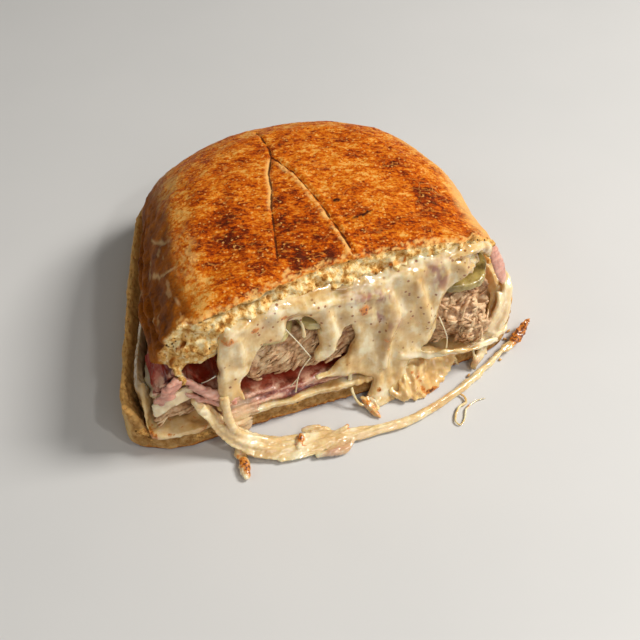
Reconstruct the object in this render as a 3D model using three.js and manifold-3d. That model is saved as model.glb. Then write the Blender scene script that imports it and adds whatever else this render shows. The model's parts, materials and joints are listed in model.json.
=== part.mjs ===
// Half of a pressed Cuban sandwich, cut on the slant and pulled apart.
// It stands on the flat base of its roll. The cut face looks towards -Y and runs along +X, from the sharp
// corner at the left to the blunt one at the right, and it leans back. Melted cheese hangs down the face,
// and one long strand of it lies on the ground in front.
// Millimetres, +Z up, with the origin on the ground under the middle of everything.

import * as THREE from "three";
import { mergeVertices } from "three/addons/utils/BufferGeometryUtils.js";
import Module from "manifold-3d";

const wasm = await Module();
wasm.setup();

// Driving dimensions
const TOP = 56.5; // middle of the pressed top
const CRUST = 5.5; // thickness of the roll's wall
const EDGE_CRUST = 4; // thickness of the upper half under the edge of its top
const WALL_TOP = 20.5; // height of the lower half's wall
const FLARE = 1.2; // how far that wall leans out
const BASE = 7; // height of the lower half's crumb
const CEILING = 48; // underside of the upper half
const CHEESE = 2; // a slice of cheese
const SLICE = 1.7; // a slice of ham
const PICKLE = 2.6; // a slice of pickle
const PORK_TOP = 33.2;
const MELT = 3; // the sheet of melted cheese that hangs down the cut
const GAP = 0.4; // clearance kept between neighbours
const AROUND = 72; // steps round the roll

const vec = (x, y, z) => new THREE.Vector3(x, y, z);
const mix = THREE.MathUtils.lerp;
const rise = THREE.MathUtils.smoothstep;

// Uneven lumps between -1 and 1, roughly `size` millimetres across.
function lumps(x, y, z, size) {
  const [a, b, c] = [x / size, y / size, z / size];
  const first = Math.sin(2.9 * a + 1.7 * Math.sin(1.3 * b + c));
  const second = Math.sin(3.7 * b + 2.1 * Math.sin(1.9 * c - a) + 1.1);
  const third = Math.sin(3.3 * c + 1.5 * Math.sin(2.3 * a + b) + 2.3);
  return (first + second + third) / 3;
}

// Random numbers from a seed.
function dice(seed) {
  let state = seed;
  return (low, high) => {
    state = (state * 1664525 + 1013904223) % 4294967296;
    return mix(low, high, state / 4294967296);
  };
}

// Stations round the roll, from the sharp corner along the cut, up the right side, round the heel and
// down the left side. Each gives the lower half's foot, the upper half's rim, and the edge of its
// pressed top.
const STATIONS = [
  { foot: [-82, -20], rim: [-71, -20, 34], crown: [-60, -22.5, 53] },
  { foot: [-77, -25], rim: [-67, -23.5, 35.5], crown: [-59, -25, 54.5] },
  { foot: [-68, -29.5], rim: [-62, -26.5, 36], crown: [-57, -27, 55.5] },
  { foot: [-56, -31.2], rim: [-54.5, -28.5, 36.5], crown: [-53, -27.5, 56] },
  { foot: [-43, -32.8], rim: [-46, -29, 45.5], crown: [-46, -27.5, 56.5] },
  { foot: [-15, -37.3], rim: [-15, -28.5, 48], crown: [-15, -26.5, 57] },
  { foot: [20, -43], rim: [18, -34, 47.5], crown: [18, -33, 56] },
  { foot: [48, -44.5], rim: [36, -38.5, 49.5], crown: [34, -37.5, 53.5] },
  { foot: [54.5, -39.5], rim: [45, -36.5, 43.5], crown: [38, -33.5, 51] },
  { foot: [58.5, -24], rim: [52.5, -22, 32], crown: [41, -19, 52] },
  { foot: [61, 2], rim: [58.5, 3, 29.5], crown: [45.5, 2, 53] },
  { foot: [54, 35], rim: [52, 34, 29], crown: [41, 28, 53] },
  { foot: [28, 62], rim: [27, 60, 29], crown: [22, 45, 53] },
  { foot: [-7, 75], rim: [-8, 71, 29], crown: [-8, 51, 51.5] },
  { foot: [-36, 71], rim: [-34, 67, 28.5], crown: [-28, 40, 51.8] },
  { foot: [-55, 40], rim: [-51, 39, 28], crown: [-39.5, 25, 53.5] },
  { foot: [-71, 7], rim: [-65, 6, 28.5], crown: [-50, 0, 54] },
  { foot: [-80, -12], rim: [-70.5, -13, 31], crown: [-57, -16, 53] },
];
const BLUNT = 8; // the station of the blunt corner
const BESIDE = 9; // the first station of the right side
const loop = (points) => new THREE.CatmullRomCurve3(points, true, "centripetal");
const FOOT = loop(STATIONS.map(({ foot }) => vec(...foot, 0)));
const RIM = loop(STATIONS.map(({ rim }) => vec(...rim)));
const CROWN = loop(STATIONS.map(({ crown }) => vec(...crown)));
const MIDDLE = vec(-6, 10, 0);

// 1 on the cut, 0 round the crusty sides.
function onCut(t) {
  const station = t * STATIONS.length;
  return rise(station, 0.2, 1) * (1 - rise(station, BLUNT - 0.7, BLUNT + 0.2));
}

// A point moved level towards the middle of the roll, or out from it where the depth is negative.
const reach = (point) => Math.hypot(point.x - MIDDLE.x, point.y - MIDDLE.y);
function inset(point, depth) {
  const share = 1 - depth / reach(point);
  return vec(mix(MIDDLE.x, point.x, share), mix(MIDDLE.y, point.y, share), point.z);
}

// A point at the share r of the way out from the middle, at a height.
const within = (edge, r, z) => vec(mix(MIDDLE.x, edge.x, r), mix(MIDDLE.y, edge.y, r), z);

// The lip of the lower half's wall, which flares out over its foot.
function lip(t) {
  const cut = onCut(t);
  return inset(FOOT.getPoint(t), -FLARE * (1 - cut)).setZ(mix(WALL_TOP, BASE, cut));
}

// Where the leaning cut face stands at a place along it and a height.
const CUT_STEPS = 80;
const cutLine = (curve) =>
  Array.from({ length: CUT_STEPS + 1 }, (_, i) =>
    curve.getPoint(((i / CUT_STEPS) * BESIDE) / STATIONS.length),
  );
const CUT_FOOT = cutLine(FOOT);
const CUT_CROWN = cutLine(CROWN);
const CUT_HEIGHT = 56;
function faceY(x, z) {
  const at = (line) => {
    const next = line.findIndex((p, i) => i > 0 && p.x >= x);
    if (next < 0) return line.reduce((far, p) => (p.x > far.x ? p : far)).y;
    const [a, b] = [line[next - 1], line[next]];
    return mix(a.y, b.y, THREE.MathUtils.clamp((x - a.x) / (b.x - a.x), 0, 1));
  };
  return mix(at(CUT_FOOT), at(CUT_CROWN), z / CUT_HEIGHT);
}

// A closed skin through rings of points. The first and last rings are single points, the poles.
function loft(around, rings) {
  const skin = new THREE.SphereGeometry(1, around, rings.length - 1);
  const position = skin.getAttribute("position");
  for (let i = 0; i < position.count; i++) {
    const ring = rings[Math.floor(i / (around + 1))];
    const p = ring(((i % (around + 1)) % around) / around);
    position.setXYZ(i, p.x, p.y, p.z);
  }
  return solid(skin);
}

// A closed geometry as a solid that can be joined and cut, with its faces outward. Corners closer than
// `weld` become one.
const EXACT = 1e-7;
function solid(geometry, weld = 1e-4) {
  const bare = geometry.clone();
  bare.deleteAttribute("normal");
  bare.deleteAttribute("uv");
  const { index, attributes } = mergeVertices(bare, weld);
  const corners = Array.from(index.array);
  const at = (i) => vec().fromBufferAttribute(attributes.position, corners[i]);
  let volume = 0;
  for (let i = 0; i < corners.length; i += 3) volume += at(i).dot(at(i + 1).cross(at(i + 2)));
  if (volume < 0) corners.reverse();
  const vertProperties = attributes.position.array;
  const triVerts = new Uint32Array(corners);
  return new wasm.Manifold(new wasm.Mesh({ numProp: 3, vertProperties, triVerts }));
}

// The largest body of a solid, as a geometry. Scraps that a cut leaves behind are dropped.
function geometryOf(shape) {
  const { vertProperties, triVerts } = shape.getMesh();
  const owner = Array.from({ length: vertProperties.length / 3 }, (_, i) => i);
  const find = (i) => {
    while (owner[i] !== i) {
      owner[i] = owner[owner[i]];
      i = owner[i];
    }
    return i;
  };
  for (let i = 0; i < triVerts.length; i += 3) {
    owner[find(triVerts[i + 1])] = find(triVerts[i]);
    owner[find(triVerts[i + 2])] = find(triVerts[i]);
  }
  const bodies = new Map();
  for (let i = 0; i < triVerts.length; i += 3) {
    const body = find(triVerts[i]);
    if (!bodies.has(body)) bodies.set(body, []);
    bodies.get(body).push(...triVerts.slice(i, i + 3));
  }
  const largest = [...bodies.values()].sort((a, b) => b.length - a.length)[0];
  const whole = new THREE.BufferGeometry();
  whole.setAttribute("position", new THREE.BufferAttribute(vertProperties, 3));
  whole.setIndex(largest);
  const geometry = mergeVertices(whole.toNonIndexed(), EXACT);
  geometry.computeVertexNormals();
  return geometry;
}

// A solid with its skin moved out by the gap, which cuts that clearance from a neighbour.
function grown(shape, by = GAP) {
  const geometry = geometryOf(shape);
  const [position, normal] = [geometry.getAttribute("position"), geometry.getAttribute("normal")];
  for (let i = 0; i < position.count; i++) {
    const p = vec().fromBufferAttribute(position, i);
    p.addScaledVector(vec().fromBufferAttribute(normal, i), by);
    position.setXYZ(i, p.x, p.y, p.z);
  }
  return solid(geometry, EXACT);
}

const joined = (shapes) => shapes.reduce((sum, next) => sum.add(next));
const cutBy = (shape, cutters) => cutters.reduce((left, cutter) => left.subtract(cutter), shape);

// A rope of food along a smooth path. size(s) is its half width and half thickness at the share s, and
// its broad side faces the way given.
const UP = vec(0, 0, 1);
const SLANT = vec(0, -1, 1).normalize();
function rope(places, size, steps = 10, sides = 6, facing = UP) {
  const path = new THREE.CatmullRomCurve3(places, false, "centripetal");
  const ringAt = (s) => (t) => {
    const along = path.getTangent(s);
    const side = along.clone().cross(facing).normalize();
    const top = side.clone().cross(along).normalize();
    const [wide, high] = size(s);
    const end = Math.min(1, Math.sqrt(Math.min(s, 1 - s) / 0.05));
    const turn = t * 2 * Math.PI;
    return path
      .getPoint(s)
      .addScaledVector(side, Math.cos(turn) * wide * end)
      .addScaledVector(top, Math.sin(turn) * high * end);
  };
  const shares = Array.from({ length: steps + 1 }, (_, i) => mix(0.015, 0.985, i / steps));
  return loft(sides, [() => path.getPoint(0), ...shares.map(ringAt), () => path.getPoint(1)]);
}

// A rope on the cut: places along it, heights, and how far it stands out there.
const drip = (line, size, steps, sides) =>
  rope(line.map(([x, z, proud]) => vec(x, faceY(x, z) - proud, z)), size, steps, sides, SLANT);
const broad = (from, to) => (s) => [mix(from, to, s), 1.3];

// A roughened ellipsoid with its half sizes, turned about the vertical.
function lump(centre, half, turn, rough, around = 10, down = 6) {
  const blob = new THREE.SphereGeometry(1, around, down);
  const position = blob.getAttribute("position");
  for (let i = 0; i < position.count; i++) {
    const p = vec().fromBufferAttribute(position, i);
    p.multiplyScalar(1 + rough * lumps(p.x, p.y, p.z, 0.8));
    p.multiply(vec(...half)).applyAxisAngle(vec(0, 0, 1), turn).add(centre);
    position.setXYZ(i, p.x, p.y, p.z);
  }
  return solid(blob);
}

// The two halves of the roll

function upperBread() {
  const side = (share) => (t) => {
    const p = CROWN.getPoint(t).lerp(RIM.getPoint(t), share);
    const cut = onCut(t);
    const bulge = 2.4 * Math.sin(Math.PI * share) * (1 - cut);
    const crag = mix(0.5 * lumps(p.x, p.y, p.z, 9), 0.9 * lumps(p.x, p.y, p.z, 4), cut);
    return inset(p, -bulge - crag).setZ(p.z + 0.7 * bulge);
  };
  const press = (r) => (t) => {
    const edge = CROWN.getPoint(t);
    const dent = 0.4 * lumps(edge.x * r, edge.y * r, 20 * r, 11);
    return within(edge, r, mix(TOP, edge.z, r * r * r) + r * dent);
  };
  // The underside climbs from the rim to the ceiling and keeps clear of the top's rounded edge.
  const under = (share) => (t) => {
    const [rim, crown] = [RIM.getPoint(t), CROWN.getPoint(t)];
    const depth = Math.max(CRUST + 13, reach(rim) - reach(crown) + EDGE_CRUST);
    const high = inset(rim, depth).setZ(Math.min(CEILING, crown.z - EDGE_CRUST));
    return inset(rim, 2.5).lerp(high, share);
  };
  return loft(AROUND, [
    () => vec(MIDDLE.x, MIDDLE.y, TOP),
    press(0.45),
    press(0.85),
    side(0.15),
    side(0.45),
    side(0.75),
    side(1),
    under(0),
    under(0.5),
    under(1),
    () => vec(MIDDLE.x, MIDDLE.y, CEILING),
  ]);
}

function lowerBread() {
  const wall = (share) => (t) => {
    const edge = lip(t);
    const p = FOOT.getPoint(t).lerp(edge, share);
    const cut = onCut(t);
    const bulge = 0.8 * Math.sin(Math.PI * share) * (1 - cut);
    const crag = mix(0.5 * lumps(p.x, p.y, p.z, 10), 0.7 * lumps(p.x, p.y, p.z * 2, 4), cut);
    return inset(p, -bulge - crag);
  };
  const inner = (depth, up) => (t) => {
    const edge = lip(t);
    return inset(edge, mix(depth, 0.25 * depth, onCut(t))).setZ(mix(BASE, edge.z, up));
  };
  return loft(AROUND, [
    () => vec(MIDDLE.x, MIDDLE.y, BASE - 0.5),
    inner(CRUST + 3, 0),
    inner(CRUST, 0.3),
    inner(1.6, 0.97),
    wall(0.97),
    wall(0.6),
    wall(0.2),
    (t) => inset(FOOT.getPoint(t), 1).setZ(0),
    () => vec(MIDDLE.x, MIDDLE.y, 0),
  ]);
}

// The fillings

// A slice that lies level: its outline, and its lower and upper face by place.
function slice(edge, low, high, around = 52, shares = [0.55, 0.93]) {
  const face = (height) => (r) => (t) => {
    const p = within(edge(t), r, 0);
    return p.setZ(height(p, r));
  };
  const rim = (up) => (t) => {
    const p = edge(t).clone();
    return p.setZ(mix(low(p, 1), high(p, 1), up));
  };
  return loft(around, [
    () => vec(MIDDLE.x, MIDDLE.y, high(MIDDLE, 0)),
    ...shares.map(face(high)),
    rim(0.75),
    rim(0.25),
    ...[...shares].reverse().map(face(low)),
    () => vec(MIDDLE.x, MIDDLE.y, low(MIDDLE, 0)),
  ]);
}

// An outline that stays inside the roll's wall and reaches the cut, where it stands proud of it. It can
// end at a place along the cut on the left, on the right or on both, and spreads out again behind.
const SPREAD = 20;
const layerEdge = (depth, proud, height, left = -Infinity, right = Infinity) => (t) => {
  const cut = onCut(t);
  const out = inset(lip(t), depth * (1 - cut)).setZ(0).sub(MIDDLE);
  let share = 1;
  for (let i = 0; i < 12 && cut > 0; i++) {
    const x = MIDDLE.x + share * out.x;
    share = mix(share, (faceY(x, height) - proud(x) - MIDDLE.y) / out.y, 0.5);
  }
  const behind = SPREAD * rise(out.y, -24, 4);
  const limit = out.x < 0 ? left - behind : right + behind;
  share = Math.min(mix(1, share, cut), (limit - MIDDLE.x) / out.x);
  return MIDDLE.clone().addScaledVector(out, share);
};

const CHEESE_FLOOR = BASE + GAP;

// The lower slice of cheese climbs the inside of the wall and shows in the seam all round.
function cheeseLower() {
  const CLIMB = 17;
  const frill = (t) => 0.8 * lumps(FOOT.getPoint(t).x, FOOT.getPoint(t).y, 0, 8);
  const tier = (depth, up, thick) => (t) => {
    const cut = onCut(t);
    const edge = lip(t);
    const proud = -1 - 0.7 * lumps(edge.x, 0, 0, 5);
    const z = CHEESE_FLOOR + thick + (1 - cut) * up * (CLIMB + frill(t));
    return inset(edge, mix(depth, proud, cut)).setZ(z);
  };
  const depth = CRUST + 1;
  const body = loft(AROUND, [
    () => vec(MIDDLE.x, MIDDLE.y, CHEESE_FLOOR + CHEESE),
    tier(depth + 6, 0, CHEESE),
    tier(depth + 3.6, 0.8, CHEESE),
    tier(depth + 1.6, 1, CHEESE),
    tier(depth - 0.4, 0.85, CHEESE / 2),
    tier(depth + 1.4, 0.1, CHEESE / 3),
    tier(depth + 4, 0, 0),
    () => vec(MIDDLE.x, MIDDLE.y, CHEESE_FLOOR),
  ]);
  const swollen = (s) => [2.2 + 0.9 * Math.sin(Math.PI * s), 1.4];
  const outOfCorner = [[54.5, 25.5, -3], [52.6, 21.6, 1], [48, 16, 2.6], [43, 11.8, 3], [38, 9.6, 3]];
  const ontoGround = [[44, 9.6, -1], [42, 7.6, 2.2], [37.4, 4, 3.2], [33, 1.4, 4.4]];
  const apron = [[24, 9.4, -1.5], [20, 7, 2.4], [14, 3.6, 5], [7.5, 1.2, 9]];
  return [
    body,
    drip(outOfCorner, swollen, 8),
    drip(ontoGround, broad(2.4, 1.6), 7),
    drip(apron, broad(8.5, 5), 9, 8),
  ];
}

// A rumpled slice of ham on it, thicker where it is folded at the left. A flap of it hangs over the
// edge of the bread.
const HAM_LOW = CHEESE_FLOOR + CHEESE + GAP;
const HAM_LEFT = -56;
const HAM_RIGHT = 14;
const hamTop = (x) => HAM_LOW + SLICE + 1 + 3 * (1 - rise(x, -40, -22));
const FLAP = { x: -48.5, proud: 1.6, top: 12, bottom: 1.8, width: 13 };

function hamLower() {
  const rumple = (x) => 0.9 + 0.9 * Math.sin(0.8 * x);
  const edge = layerEdge(17, rumple, HAM_LOW, HAM_LEFT, HAM_RIGHT);
  const high = (p, r) => {
    const wave = 0.3 * r * Math.sin(0.9 * p.x);
    return mix(hamTop(p.x), HAM_LOW + SLICE, rise(r, 0.9, 1)) + wave;
  };
  const body = slice(edge, () => HAM_LOW, high);
  const front = faceY(FLAP.x, 6) - FLAP.proud;
  const flap = rope(
    [
      vec(FLAP.x + 2, front + 8, FLAP.top),
      vec(FLAP.x + 1, front + 1.5, FLAP.top),
      vec(FLAP.x, front - 0.6, FLAP.top - 4),
      vec(FLAP.x + 1.5, front - 1, FLAP.bottom),
    ],
    (s) => [mix(FLAP.width / 2 + 1, FLAP.width / 4, s * s), 0.8],
    7,
    8,
    SLANT,
  );
  return [body, flap];
}

// Fibres torn out of the pork, of a spread of lengths and leans, fused to its front.
function fibres(count, seed, region) {
  const draw = dice(seed);
  return Array.from({ length: count }, () => {
    const x = draw(...region.x);
    const z = draw(...region.z);
    const half = draw(3, 6.5);
    const lean = draw(...region.lean);
    const y = faceY(x, z) - region.proud + draw(0, 1.4);
    const end = (way) =>
      vec(x + way * half * Math.cos(lean), y + draw(0.6, 2), z + 0.8 * way * half * Math.sin(lean));
    const thick = draw(0.8, 1.3);
    return rope([end(-1), vec(x, y, z), end(1)], () => [thick, thick], 3, 5);
  });
}

// Roast pork, a thick slab with a torn front.
const PORK_LEFT = -43;
const porkFloor = (x) => {
  const pastHam = rise(x, HAM_RIGHT + 5, HAM_RIGHT + 14);
  return mix(hamTop(x) + 0.3 + GAP, HAM_LOW, pastHam);
};
const LEFT_FIBRES = { x: [-36, -8], z: [21, 29], lean: [0.1, 0.6], proud: -0.9 };
const RIGHT_FIBRES = { x: [27, 40], z: [18, 29], lean: [-1.2, 1.2], proud: 3 };
const TUFT = { x: 35.6, z: 16, half: [6.6, 3, 6.2] }; // meat that bulges out at the blunt corner

function pork() {
  const proud = (x) => mix(-1.4, 1.6, rise(x, 18, 28)) + 0.6 * lumps(x, 3, 0, 5);
  const edge = layerEdge(13, proud, 24, PORK_LEFT);
  const low = (p, r) => porkFloor(p.x) + 3 * rise(r, 0.9, 1);
  const high = (p, r) => {
    const rough = 0.4 * r * (1 + lumps(p.x, p.y, 0, 8));
    return PORK_TOP - 2.4 * rise(-p.x, 30, 44) - 3 * rise(r, 0.9, 1) - rough;
  };
  const body = slice(edge, low, high);
  const tuft = lump(vec(TUFT.x, faceY(TUFT.x, TUFT.z) - 0.4, TUFT.z), TUFT.half, -0.2, 0.1, 9, 5);
  return [body, tuft, ...fibres(9, 7, LEFT_FIBRES), ...fibres(7, 5, RIGHT_FIBRES)];
}

// A smaller piece of it in the sharp corner, with a slice of cheese on top.
const CORNER = { x: -66.5, y: -14, low: HAM_LOW, high: 18, turn: 0.35 };
const CORNER_FIBRES = { x: [-71, -65], z: [12, 16], lean: [-0.4, 0.6], proud: -2 };

function porkCorner() {
  const half = (CORNER.high - CORNER.low) / 2;
  const body = lump(vec(CORNER.x, CORNER.y, CORNER.low + half), [9, 12.5, half], CORNER.turn, 0.08, 14, 8);
  return [body, ...fibres(4, 3, CORNER_FIBRES)];
}

function cheeseCorner() {
  const middle = CORNER.high + 1 + GAP + CHEESE;
  return lump(vec(CORNER.x - 1.5, CORNER.y + 1, middle), [9, 13.5, CHEESE], CORNER.turn, 0.06, 16, 6);
}

// Pickle slices on the pork, each with its place along the cut, how far it stands out, its half width
// and half depth, and how far its front edge droops.
const PICKLES = {
  pickle_left: { x: -33, proud: 1, wide: 8, deep: 7, droop: 0 },
  pickle_middle: { x: -16, proud: 2, wide: 7.6, deep: 8, droop: 0.2 },
  pickle_right: { x: 34.2, proud: 1.3, wide: 10.6, deep: 9, droop: 0.9 },
};
const PICKLE_FLOOR = PORK_TOP + GAP;

function pickle({ x, proud, wide, deep, droop }) {
  const disc = new THREE.CylinderGeometry(1, 1.04, PICKLE, 24, 1).rotateX(Math.PI / 2);
  const middle = vec(x, faceY(x, PICKLE_FLOOR) - proud + deep, PICKLE_FLOOR + PICKLE / 2);
  const position = disc.getAttribute("position");
  for (let i = 0; i < position.count; i++) {
    const p = vec().fromBufferAttribute(position, i);
    const wavy = 1 + 0.05 * Math.cos(5 * Math.atan2(p.y, p.x));
    const sag = droop * (1 + p.y);
    p.multiply(vec(wide * wavy, deep * wavy, 1)).add(middle);
    position.setXYZ(i, p.x, p.y, p.z + sag);
  }
  return solid(disc);
}

// A band of food that is drawn as a line on the cut and runs straight back into the roll.
function ribbon(line, thick, depth, proud) {
  const path = new THREE.CatmullRomCurve3(line.map(([x, z]) => vec(x, z, 0)), false, "centripetal");
  const steps = 20;
  const [left, right] = [[], []];
  for (let i = 0; i <= steps; i++) {
    const at = path.getPoint(i / steps);
    const along = path.getTangent(i / steps);
    const half = thick / 2;
    left.push(new THREE.Vector2(at.x - along.y * half, at.y + along.x * half));
    right.unshift(new THREE.Vector2(at.x + along.y * half, at.y - along.x * half));
  }
  const shape = new THREE.Shape([...left, ...right]);
  const band = new THREE.ExtrudeGeometry(shape, { depth, steps: 2, bevelEnabled: false });
  const position = band.getAttribute("position");
  for (let i = 0; i < position.count; i++) {
    const [x, z, back] = [position.getX(i), position.getY(i), position.getZ(i)];
    const front = faceY(x, z) - proud + 0.4 * Math.sin(1.7 * x);
    position.setXYZ(i, x + 0.25 * back, front + back, z);
  }
  return solid(band);
}

// Ham folded into a pocket below the upper half's corner. Its end hangs out to the left.
const FOLD = [
  [-53.8, 28.5],
  [-54.6, 22.4],
  [-59, 22],
  [-63, 26.5],
  [-65.2, 33],
  [-69.2, 29.8],
  [-73.6, 25.4],
];
const hamFold = () => ribbon(FOLD, SLICE, 17, -0.2);

// Ham under the upper half, and a strip of it that hangs down at the blunt corner.
const HAM_HIGH = CEILING - 4 * GAP - SLICE;

function hamUpper() {
  const edge = layerEdge(26, () => -0.8, HAM_HIGH, -35);
  return slice(edge, () => HAM_HIGH, () => HAM_HIGH + SLICE, 44);
}

const hamSide = () =>
  rope(
    [vec(43.2, -36.6, 47.5), vec(46, -38.2, 39.5), vec(49.3, -38.7, 31), vec(52.6, -37.4, 24.2)],
    (s) => [1.2 + 1.6 * Math.sin(Math.PI * s), 0.8],
    9,
    8,
    SLANT,
  );

// Melted cheese: a layer under that ham, and the sheet of it that has run down the cut. The sheet's
// outline goes along its top, then back along the hanging edge, as places along the cut and heights.
const CHEESE_HIGH = HAM_HIGH - GAP;
const CHEESE_UNDER = CHEESE_HIGH - 4; // its underside at the cut
const CHEESE_INSIDE = PICKLE_FLOOR + PICKLE + 3 * GAP; // and further in, on the pickles
const SHEET = {
  topLeft: [[-50.5, 46], [-38, 48.6], [-22, 48.8], [-8, 47.6]],
  topRight: [[6, 47.4], [24, 49.4], [35, 51], [41.5, 45.5]],
  overPickle: [[42.4, 38.5], [39.8, 39.4], [36.8, 43], [33.6, 44.6], [28.6, 40], [23.4, 35]],
  curtainSide: [[21.6, 28.5], [21.4, 22], [18.8, 19], [15, 15.6], [10.6, 12.8], [9.4, 8.6]],
  curtainFoot: [[4.4, 6.8], [-2, 8.2], [-5.2, 10.4], [-8.5, 13.2], [-16, 14.2], [-24, 14.6]],
  firstBay: [[-16, 16.6], [-11, 20.4], [-7.2, 25.6], [-7.2, 31.4], [-9.4, 34], [-12.4, 29.6]],
  drip: [[-14.2, 23.6], [-16.6, 21.2], [-20, 21.4], [-23.4, 24.4], [-19.4, 26], [-18, 31]],
  secondBay: [[-18.4, 37.4], [-21.6, 40.2], [-26, 42.2], [-30.4, 41.4], [-31.6, 37]],
  flap: [[-33.4, 35.2], [-37.8, 38.4], [-42.6, 32.8], [-44.2, 27.4], [-47.4, 25.6]],
  thorn: [[-47.4, 20], [-46.6, 15.8], [-49.8, 20.2]],
  column: [[-52.6, 18.6], [-54, 14.8], [-56.2, 15.6], [-55.2, 22], [-53.6, 29], [-52.8, 37]],
};

function sheet() {
  const edge = loop(Object.values(SHEET).flat().map(([x, z]) => vec(x, z, 0)));
  const corners = edge.getSpacedPoints(96).slice(1);
  const shape = new THREE.Shape(corners.map(({ x, y }) => new THREE.Vector2(x, y)));
  const blunt = 0.7;
  const rim = { bevelSize: 0.5, bevelOffset: -0.5, bevelThickness: blunt, bevelSegments: 1 };
  const flat = new THREE.ExtrudeGeometry(shape, { depth: MELT - 2 * blunt, steps: 1, ...rim });
  const position = flat.getAttribute("position");
  for (let i = 0; i < position.count; i++) {
    const [x, z, out] = [position.getX(i), position.getY(i), position.getZ(i)];
    const wave = 0.5 * lumps(x, 0, z, 9) * rise(z, 12, 20);
    position.setXYZ(i, x, faceY(x, z) - GAP - blunt - out - wave, z);
  }
  return solid(flat);
}

function cheeseUpper() {
  const edge = layerEdge(22, () => 2, CHEESE_UNDER, -50);
  const sag = (p, r) => 0.5 * r * (lumps(p.x, p.y, 0, 11) - 1);
  const low = (p, r) => mix(CHEESE_INSIDE, CHEESE_UNDER, rise(r, 0.5, 0.95)) + sag(p, r);
  const layer = slice(edge, low, (p, r) => CHEESE_HIGH + 0.5 * sag(p, r), 44);
  const thread = () => [0.8, 0.8];
  const overPork = [[-25.6, 43.5, 1.6], [-24.6, 38, 2.6], [-24.6, 33.6, 2.6]];
  const tongue = [[4, 13, 1.4], [7.4, 8.5, 2.2], [5.4, 3.6, 4], [-1, 1.4, 5.6], [-6, 1.1, 7]];
  const noose = [[-5, 1.3, 6.6], [-9.4, 2, 6], [-10.6, 6, 3.6], [-9.8, 11, 1.2], [-9, 14.4, 1.6]];
  const string = [[4.4, 19.6, 2.4], [13.2, 15.8, 4], [24, 13.8, 6], [32, 12.2, 5.8], [47.5, 5.6, 3.8]];
  return [
    layer,
    sheet(),
    drip(overPork, thread, 4, 5),
    drip(tongue, broad(5, 1.6), 9),
    drip(noose, thread, 8, 5),
    drip(string, thread, 10, 5),
  ];
}

// The long strand that was pulled out and lies in front: two roots in the cut that meet in a broad web,
// a tail to the right with a crisp, browned tip, and shreds of ham and pork caught in it.
const GROUND = 0.05;

function cheeseStrand() {
  const along = (places, wide, high, steps, sides) =>
    rope(places.map((p) => vec(...p)), (s) => [wide(s), high(s)], steps, sides);
  const even = (a, b) => (s) => mix(a, b, s);
  const nearLeft = [[-61.5, -25, 21.8], [-61.5, -31.8, 19.5], [-58.5, -33.8, 13], [-54, -38, 5.5]];
  const leftRoot = [...nearLeft, [-47, -44, 2.2], [-38, -49.5, 1.6]];
  const rightRoot = [[-54.8, -35.2, 12.4], [-51.5, -37, 7], [-46, -41, 3], [-38, -46, 1.8]];
  const web = [[-45, -44.5, 1.4], [-33, -49, 1.5], [-21, -51.4, 1.4]];
  const lying = [[-27, -50.5, 1.4], [-14, -54, 1.3], [2, -57, 1.2], [20, -55.4, 1.2]];
  const tail = [...lying, [36, -51.5, 1.6], [49, -47.5, 2.4]];
  const tip = [[46, -48.6, 2.2], [53, -46.8, 2.6], [59, -44, 3.2], [64.5, -41.6, 4.2]];
  const crisp = (s) => 2 * Math.sin(0.7 + 2.1 * s) * (1 + 0.2 * Math.sin(17 * s));
  return [
    along(leftRoot, even(1.8, 4), () => 1.2, 10),
    along(rightRoot, even(1.5, 3.4), () => 1.2, 8),
    along(web, (s) => 5.4 - 3 * s * s, () => 1.4, 8, 8),
    along(tail, even(2.6, 1.2), even(1.3, 0.9), 16),
    along(tip, crisp, () => 1.1, 9),
    lump(vec(-24, -54.4, 1.3), [5.4, 1.8, 1.3], 0.35, 0.15),
    lump(vec(-26.5, -45.8, 1.4), [4.2, 1.5, 1.1], -0.4, 0.15),
    lump(vec(-54.6, -46, 1.4), [1.9, 5.6, 1.4], -0.35, 0.15),
    lump(vec(-53, -40.6, 1.8), [3.4, 2.2, 1.8], 0.5, 0.12),
  ];
}

const ground = solid(new THREE.BoxGeometry(400, 400, 20).translate(0, 0, GROUND - 10));

// The pieces are made from the bread outwards. Each is joined from its shapes and cut clear of the ones
// before it that it touches.
const made = {};
const keepOut = { ground: [ground] };
function place(name, shapes, neighbours) {
  made[name] = cutBy(joined(shapes), neighbours.flatMap((other) => keepOut[other]));
  keepOut[name] = shapes.map((shape) => grown(shape));
}
place("lower_bread", [lowerBread()], []);
place("upper_bread", [upperBread()], []);
place("cheese_lower", cheeseLower(), ["ground", "lower_bread", "upper_bread"]);
place("ham_lower", hamLower(), ["lower_bread", "cheese_lower"]);
place("pork", pork(), ["cheese_lower", "ham_lower"]);
place("pork_corner", porkCorner(), ["lower_bread", "cheese_lower", "ham_lower"]);
place("cheese_corner", [cheeseCorner()], ["lower_bread", "cheese_lower", "pork_corner"]);
place("ham_fold", [hamFold()], ["upper_bread", "lower_bread", "cheese_lower", "cheese_corner"]);
for (const [name, size] of Object.entries(PICKLES)) place(name, [pickle(size)], ["pork"]);
place("ham_upper", [hamUpper()], ["upper_bread", "cheese_lower", "pork"]);
place("ham_side", [hamSide()], ["upper_bread", "cheese_lower", "lower_bread", "pork", "ham_upper"]);
const underMelt = ["ground", "upper_bread", "lower_bread", "cheese_lower", "ham_lower", "pork", "ham_fold"];
place("cheese_upper", cheeseUpper(), [...underMelt, "ham_upper", "ham_side", ...Object.keys(PICKLES)]);
const underStrand = ["ground", "lower_bread", "cheese_lower", "ham_lower", "ham_fold", "cheese_corner"];
place("cheese_strand", cheeseStrand(), [...underStrand, "pork_corner", "cheese_upper"]);

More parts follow.
